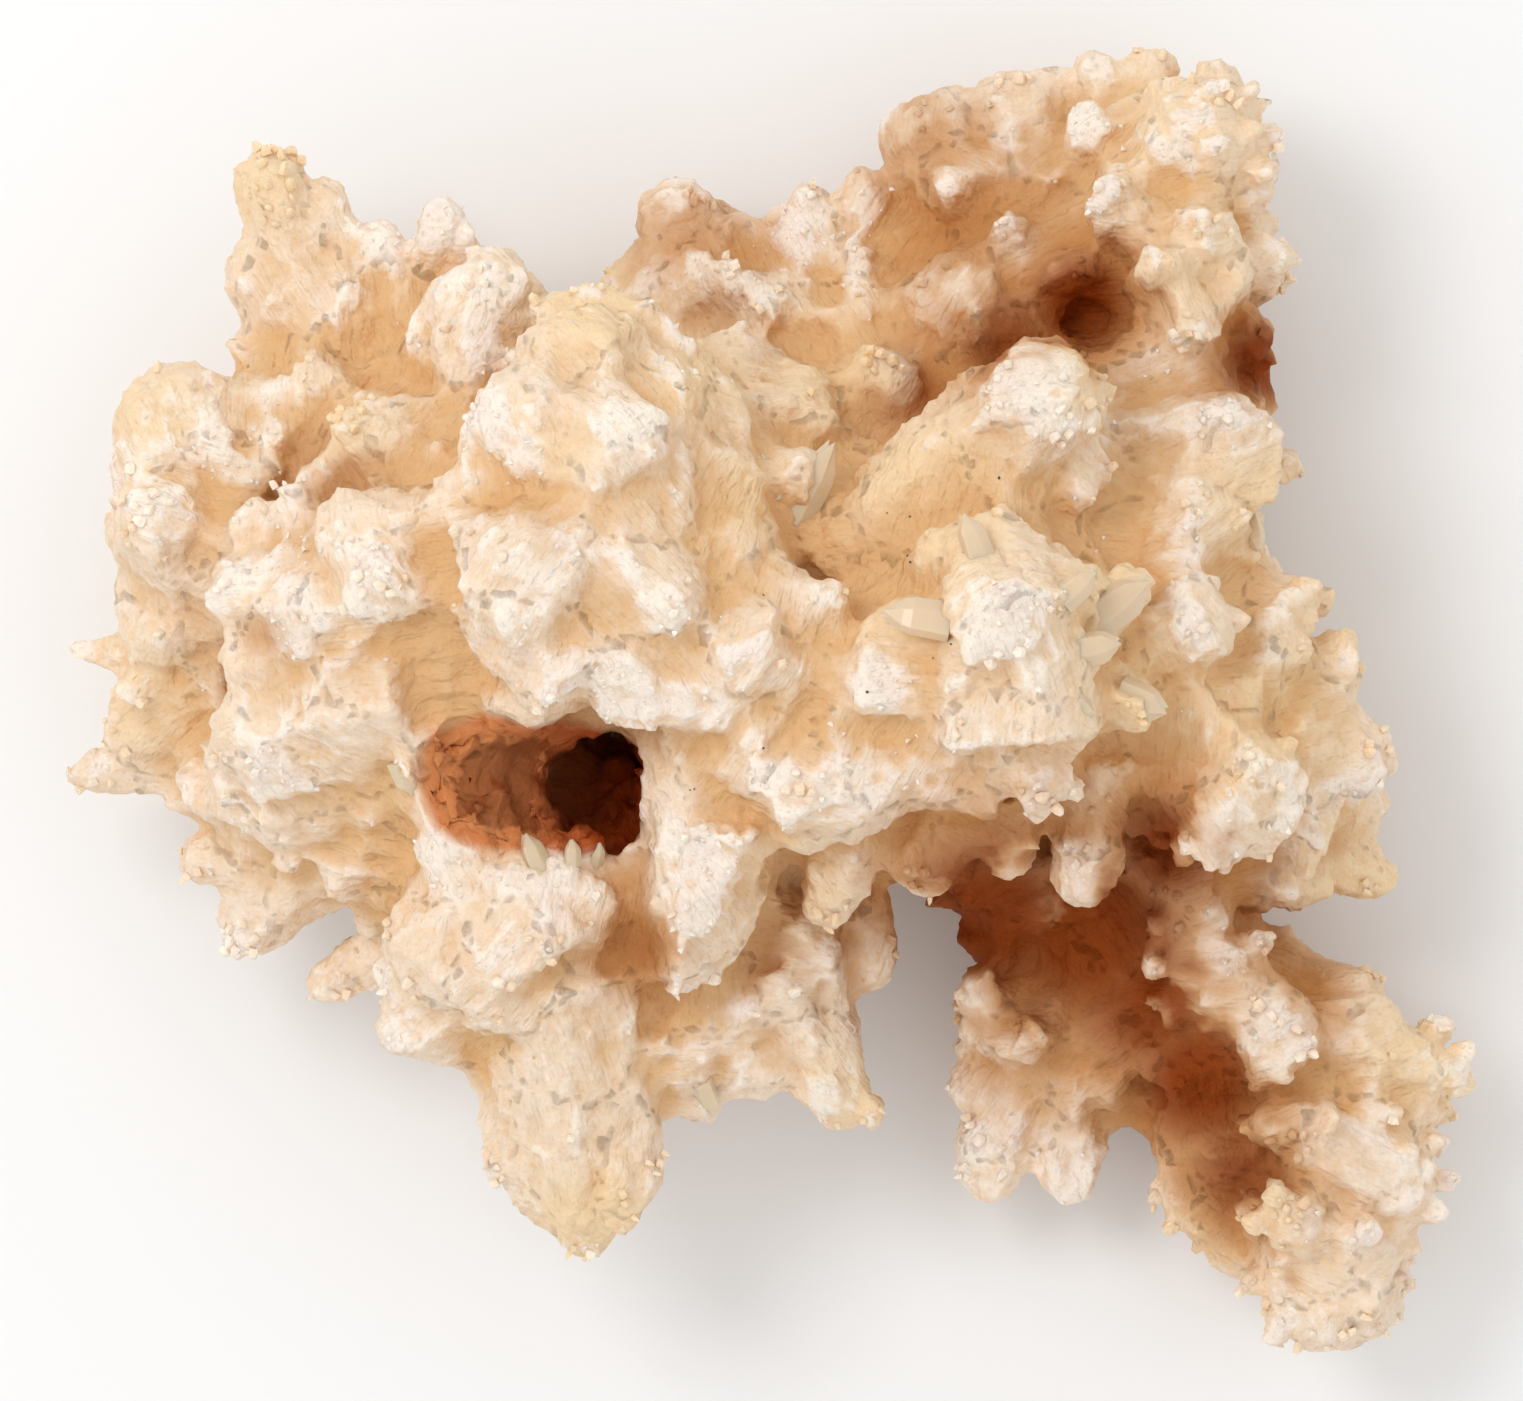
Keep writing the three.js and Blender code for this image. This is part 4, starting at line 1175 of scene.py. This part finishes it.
grains = crystalFamily(
    "grain",
    [
        (1.0, 0.9, 0.5, 3, 0.3, 0.0),
        (1.2, 0.7, 0.5, 3, 0.5, 0.1),
        (0.8, 1.1, 0.4, 3, 0.4, 0.0),
    ],
)
sugarValues = {
    "Crystals": grains,
    "Spacing": 0.8 * mm,
    "Density": 2400000.0,
    "Places": "sugarPlaces",
    "Smallest": 0.25 * mm,
    "Largest": 0.7 * mm,
    "Tilt": 1.2,
    "Seed": 8,
    "Material": icing,
}
sugarCrust = growCrust("sugarGrains", body, sugarValues)
say(f"sugar, {len(sugarCrust.data.polygons)} faces")
blocks = crystalFamily(
    "block",
    [
        (0.9, 1.0, 0.3, 6, 0.45, 0.0),
        (1.1, 0.8, 0.3, 4, 0.6, 0.1),
        (0.75, 1.1, 0.4, 4, 0.3, -0.1),
        (1.2, 0.7, 0.3, 5, 0.6, 0.0),
    ],
)
rimValues = {
    "Crystals": blocks,
    "Spacing": 1.1 * mm,
    "Density": 1200000.0,
    "Places": "rimPlaces",
    "Smallest": 0.6 * mm,
    "Largest": 1.3 * mm,
    "Tilt": 0.6,
    "Seed": 9,
    "Material": clay,
}
rimTeeth = growCrust("rimTeeth", body, rimValues)
say(f"rim teeth, {len(rimTeeth.data.polygons)} faces")
bodyTree = BVHTree.FromObject(body, bpy.context.evaluated_depsgraph_get())


def surfaceAt(px, py):
    spot = atPixel(px, py, 40 * mm)
    hit = bodyTree.ray_cast(Vector((spot.x, spot.y, 100 * mm)), Vector((0, 0, -1)))
    return hit[0].z if hit[0] is not None else None


clearValues = {"point": 0.32, "sides": 6, "blunt": 0.22, "lean": 0.0, "rounding": 0.15 * mm}
clearLook = {
    "Base Color": (0.93, 0.73, 0.51, 1),
    "Roughness": 0.3,
    "IOR": 1.58,
    "Transmission Weight": 0.25,
    "Subsurface Weight": 0.5,
    "Subsurface Radius": (1.0, 0.55, 0.3),
    "Subsurface Scale": 2.0 * mm,
}
# root pixel, tip pixel, width in pixels, how far the tip stands above the stone in millimetres
clearRows = [
    (950, 624, 880, 612, 40, 0.2), (1090, 622, 1150, 578, 44, 0.8), (1075, 650, 1122, 642, 36, 0.6),
    (790, 520, 834, 440, 40, 1.2), (774, 500, 760, 452, 28, 0.6), (540, 872, 524, 832, 26, 0.8),
    (572, 866, 572, 838, 18, 0.8), (594, 866, 600, 842, 16, 0.6), (500, 300, 526, 270, 30, 0.5),
    (1120, 694, 1168, 712, 44, 0.6), (980, 560, 962, 512, 30, 0.5), (1060, 600, 1096, 570, 30, 0.5),
    (1070, 700, 1092, 722, 32, 0.5), (700, 1080, 716, 1116, 26, 0.5), (400, 760, 414, 796, 26, 0.8),
    (1250, 520, 1260, 552, 24, 0.5),
]


def clearMesh():
    verts = []
    faces = []
    for number, row in enumerate(clearRows):
        rootX, rootY, tipX, tipY, width, above = row
        rootZ = surfaceAt(rootX, rootY)
        tipZ = surfaceAt(tipX, tipY)
        if rootZ is None:
            continue
        half = width * pixelSize / 2
        if tipZ is None or tipZ < rootZ - 6 * mm:
            tipZ = rootZ - 2 * mm
        root = atPixel(rootX, rootY, rootZ - half)
        tip = atPixel(tipX, tipY, tipZ + above * mm)
        way = tip - root
        form = [clearValues[key] for key in ("point", "sides", "blunt", "lean")]
        solid = crystalMesh(f"clear{number}", width * pixelSize, way.length, *form)
        turn = way.to_track_quat("Z", "Y")
        first = len(verts)
        verts += [tuple(root + turn @ vert.co) for vert in solid.vertices]
        faces += [tuple(first + k for k in face.vertices) for face in solid.polygons]
        bpy.data.meshes.remove(solid)
    return meshFrom("clearCrystals", verts, faces)


clearCrystals = newObject("clearCrystals", clearMesh())
clearCrystals.data.materials.append(plainMaterial("clearCalcite", clearLook))
rounding = clearCrystals.modifiers.new("rounding", "BEVEL")
rounding.width = clearValues["rounding"]
rounding.segments = 2
settle(clearCrystals)

# small dark specks of dirt, by pixel
speckValues = {"smallest": 0.11 * mm, "largest": 0.2 * mm, "uneven": (0.7, 1.3), "seed": 23}
speckLook = {"Base Color": (0.09, 0.075, 0.05, 1), "Roughness": 0.8}
speckSpots = [
    (763, 596), (887, 513), (910, 517), (908, 556), (910, 562), (1009, 617), (933, 658), (951, 644),
    (763, 748), (999, 478), (1050, 587), (694, 789), (1051, 763), (1056, 766), (867, 692), (1094, 322),
    (1096, 326), (690, 790), (530, 700),
]


def speckMesh():
    verts = []
    faces = []
    dice = random.Random(speckValues["seed"])
    for px, py in speckSpots:
        z = surfaceAt(px, py)
        if z is None:
            continue
        spot = atPixel(px, py, z)
        size = dice.uniform(speckValues["smallest"], speckValues["largest"])
        first = len(verts)
        for x, y, z in ((1, 0, 0), (0, 1, 0), (-1, 0, 0), (0, -1, 0), (0, 0, 0.7), (0, 0, -1)):
            verts.append(tuple(spot + Vector((x, y, z)) * size * dice.uniform(*speckValues["uneven"])))
        for side in range(4):
            faces.append((first + side, first + (side + 1) % 4, first + 4))
            faces.append((first + (side + 1) % 4, first + side, first + 5))
    return meshFrom("dirtSpecks", verts, faces)


specks = newObject("dirtSpecks", speckMesh())
specks.data.materials.append(plainMaterial("dirt", speckLook))

for piece in (body, sugarCrust, rimTeeth, clearCrystals, specks):
    movePoints(piece.data, np.clip(pointsOf(piece.data), cadLow, cadHigh))
    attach(piece, "root")
    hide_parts("calcite_cluster")
for scrap in (core, toothCrust):
    dropObject(scrap)

# floor, light and camera

stageValues = {"floorReach": 3.0, "floorDrop": 0.2 * mm, "worldStrength": 0.86}
floorLook = {"Base Color": (0.93, 0.93, 0.93, 1), "Roughness": 0.9}
keyLightValues = {"spot": (-0.35, 0.25, 0.75), "size": 0.35, "power": 1.9}
reach = stageValues["floorReach"]
floorCorners = [(-reach, -reach, 0), (reach, -reach, 0), (reach, reach, 0), (-reach, reach, 0)]
floor = newObject("floor", meshFrom("floor", floorCorners, [(0, 1, 2, 3)]))
floor.location.z = -stageValues["floorDrop"]
floor.data.materials.append(plainMaterial("floorPaint", floorLook))

world = bpy.data.worlds.new("studio")
scene.world = world
world.use_nodes = True
world.node_tree.nodes["Background"].inputs["Color"].default_value = (1, 1, 1, 1)
world.node_tree.nodes["Background"].inputs["Strength"].default_value = stageValues["worldStrength"]


def softLight(name, spot, size, power):
    lamp = bpy.data.objects.new(name, bpy.data.lights.new(name, "AREA"))
    lamp.data.shape = "DISK"
    lamp.data.size = size
    lamp.data.energy = power
    lamp.location = spot
    lamp.rotation_euler = (-Vector(spot)).to_track_quat("-Z", "Y").to_euler()
    scene.collection.objects.link(lamp)
    return lamp


softLight("keyLight", **keyLightValues)

camera = bpy.data.objects.new("camera", bpy.data.cameras.new("camera"))
scene.collection.objects.link(camera)
camera.data.sensor_width = 36
camera.data.lens = 36 * viewDistance / (photoWidth * pixelSize)
camera.data.clip_start = 0.05
camera.data.clip_end = 20
camera.location = (cameraSpot[0], cameraSpot[1], viewDistance + referenceHeight)
scene.camera = camera

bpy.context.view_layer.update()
say("scene done")
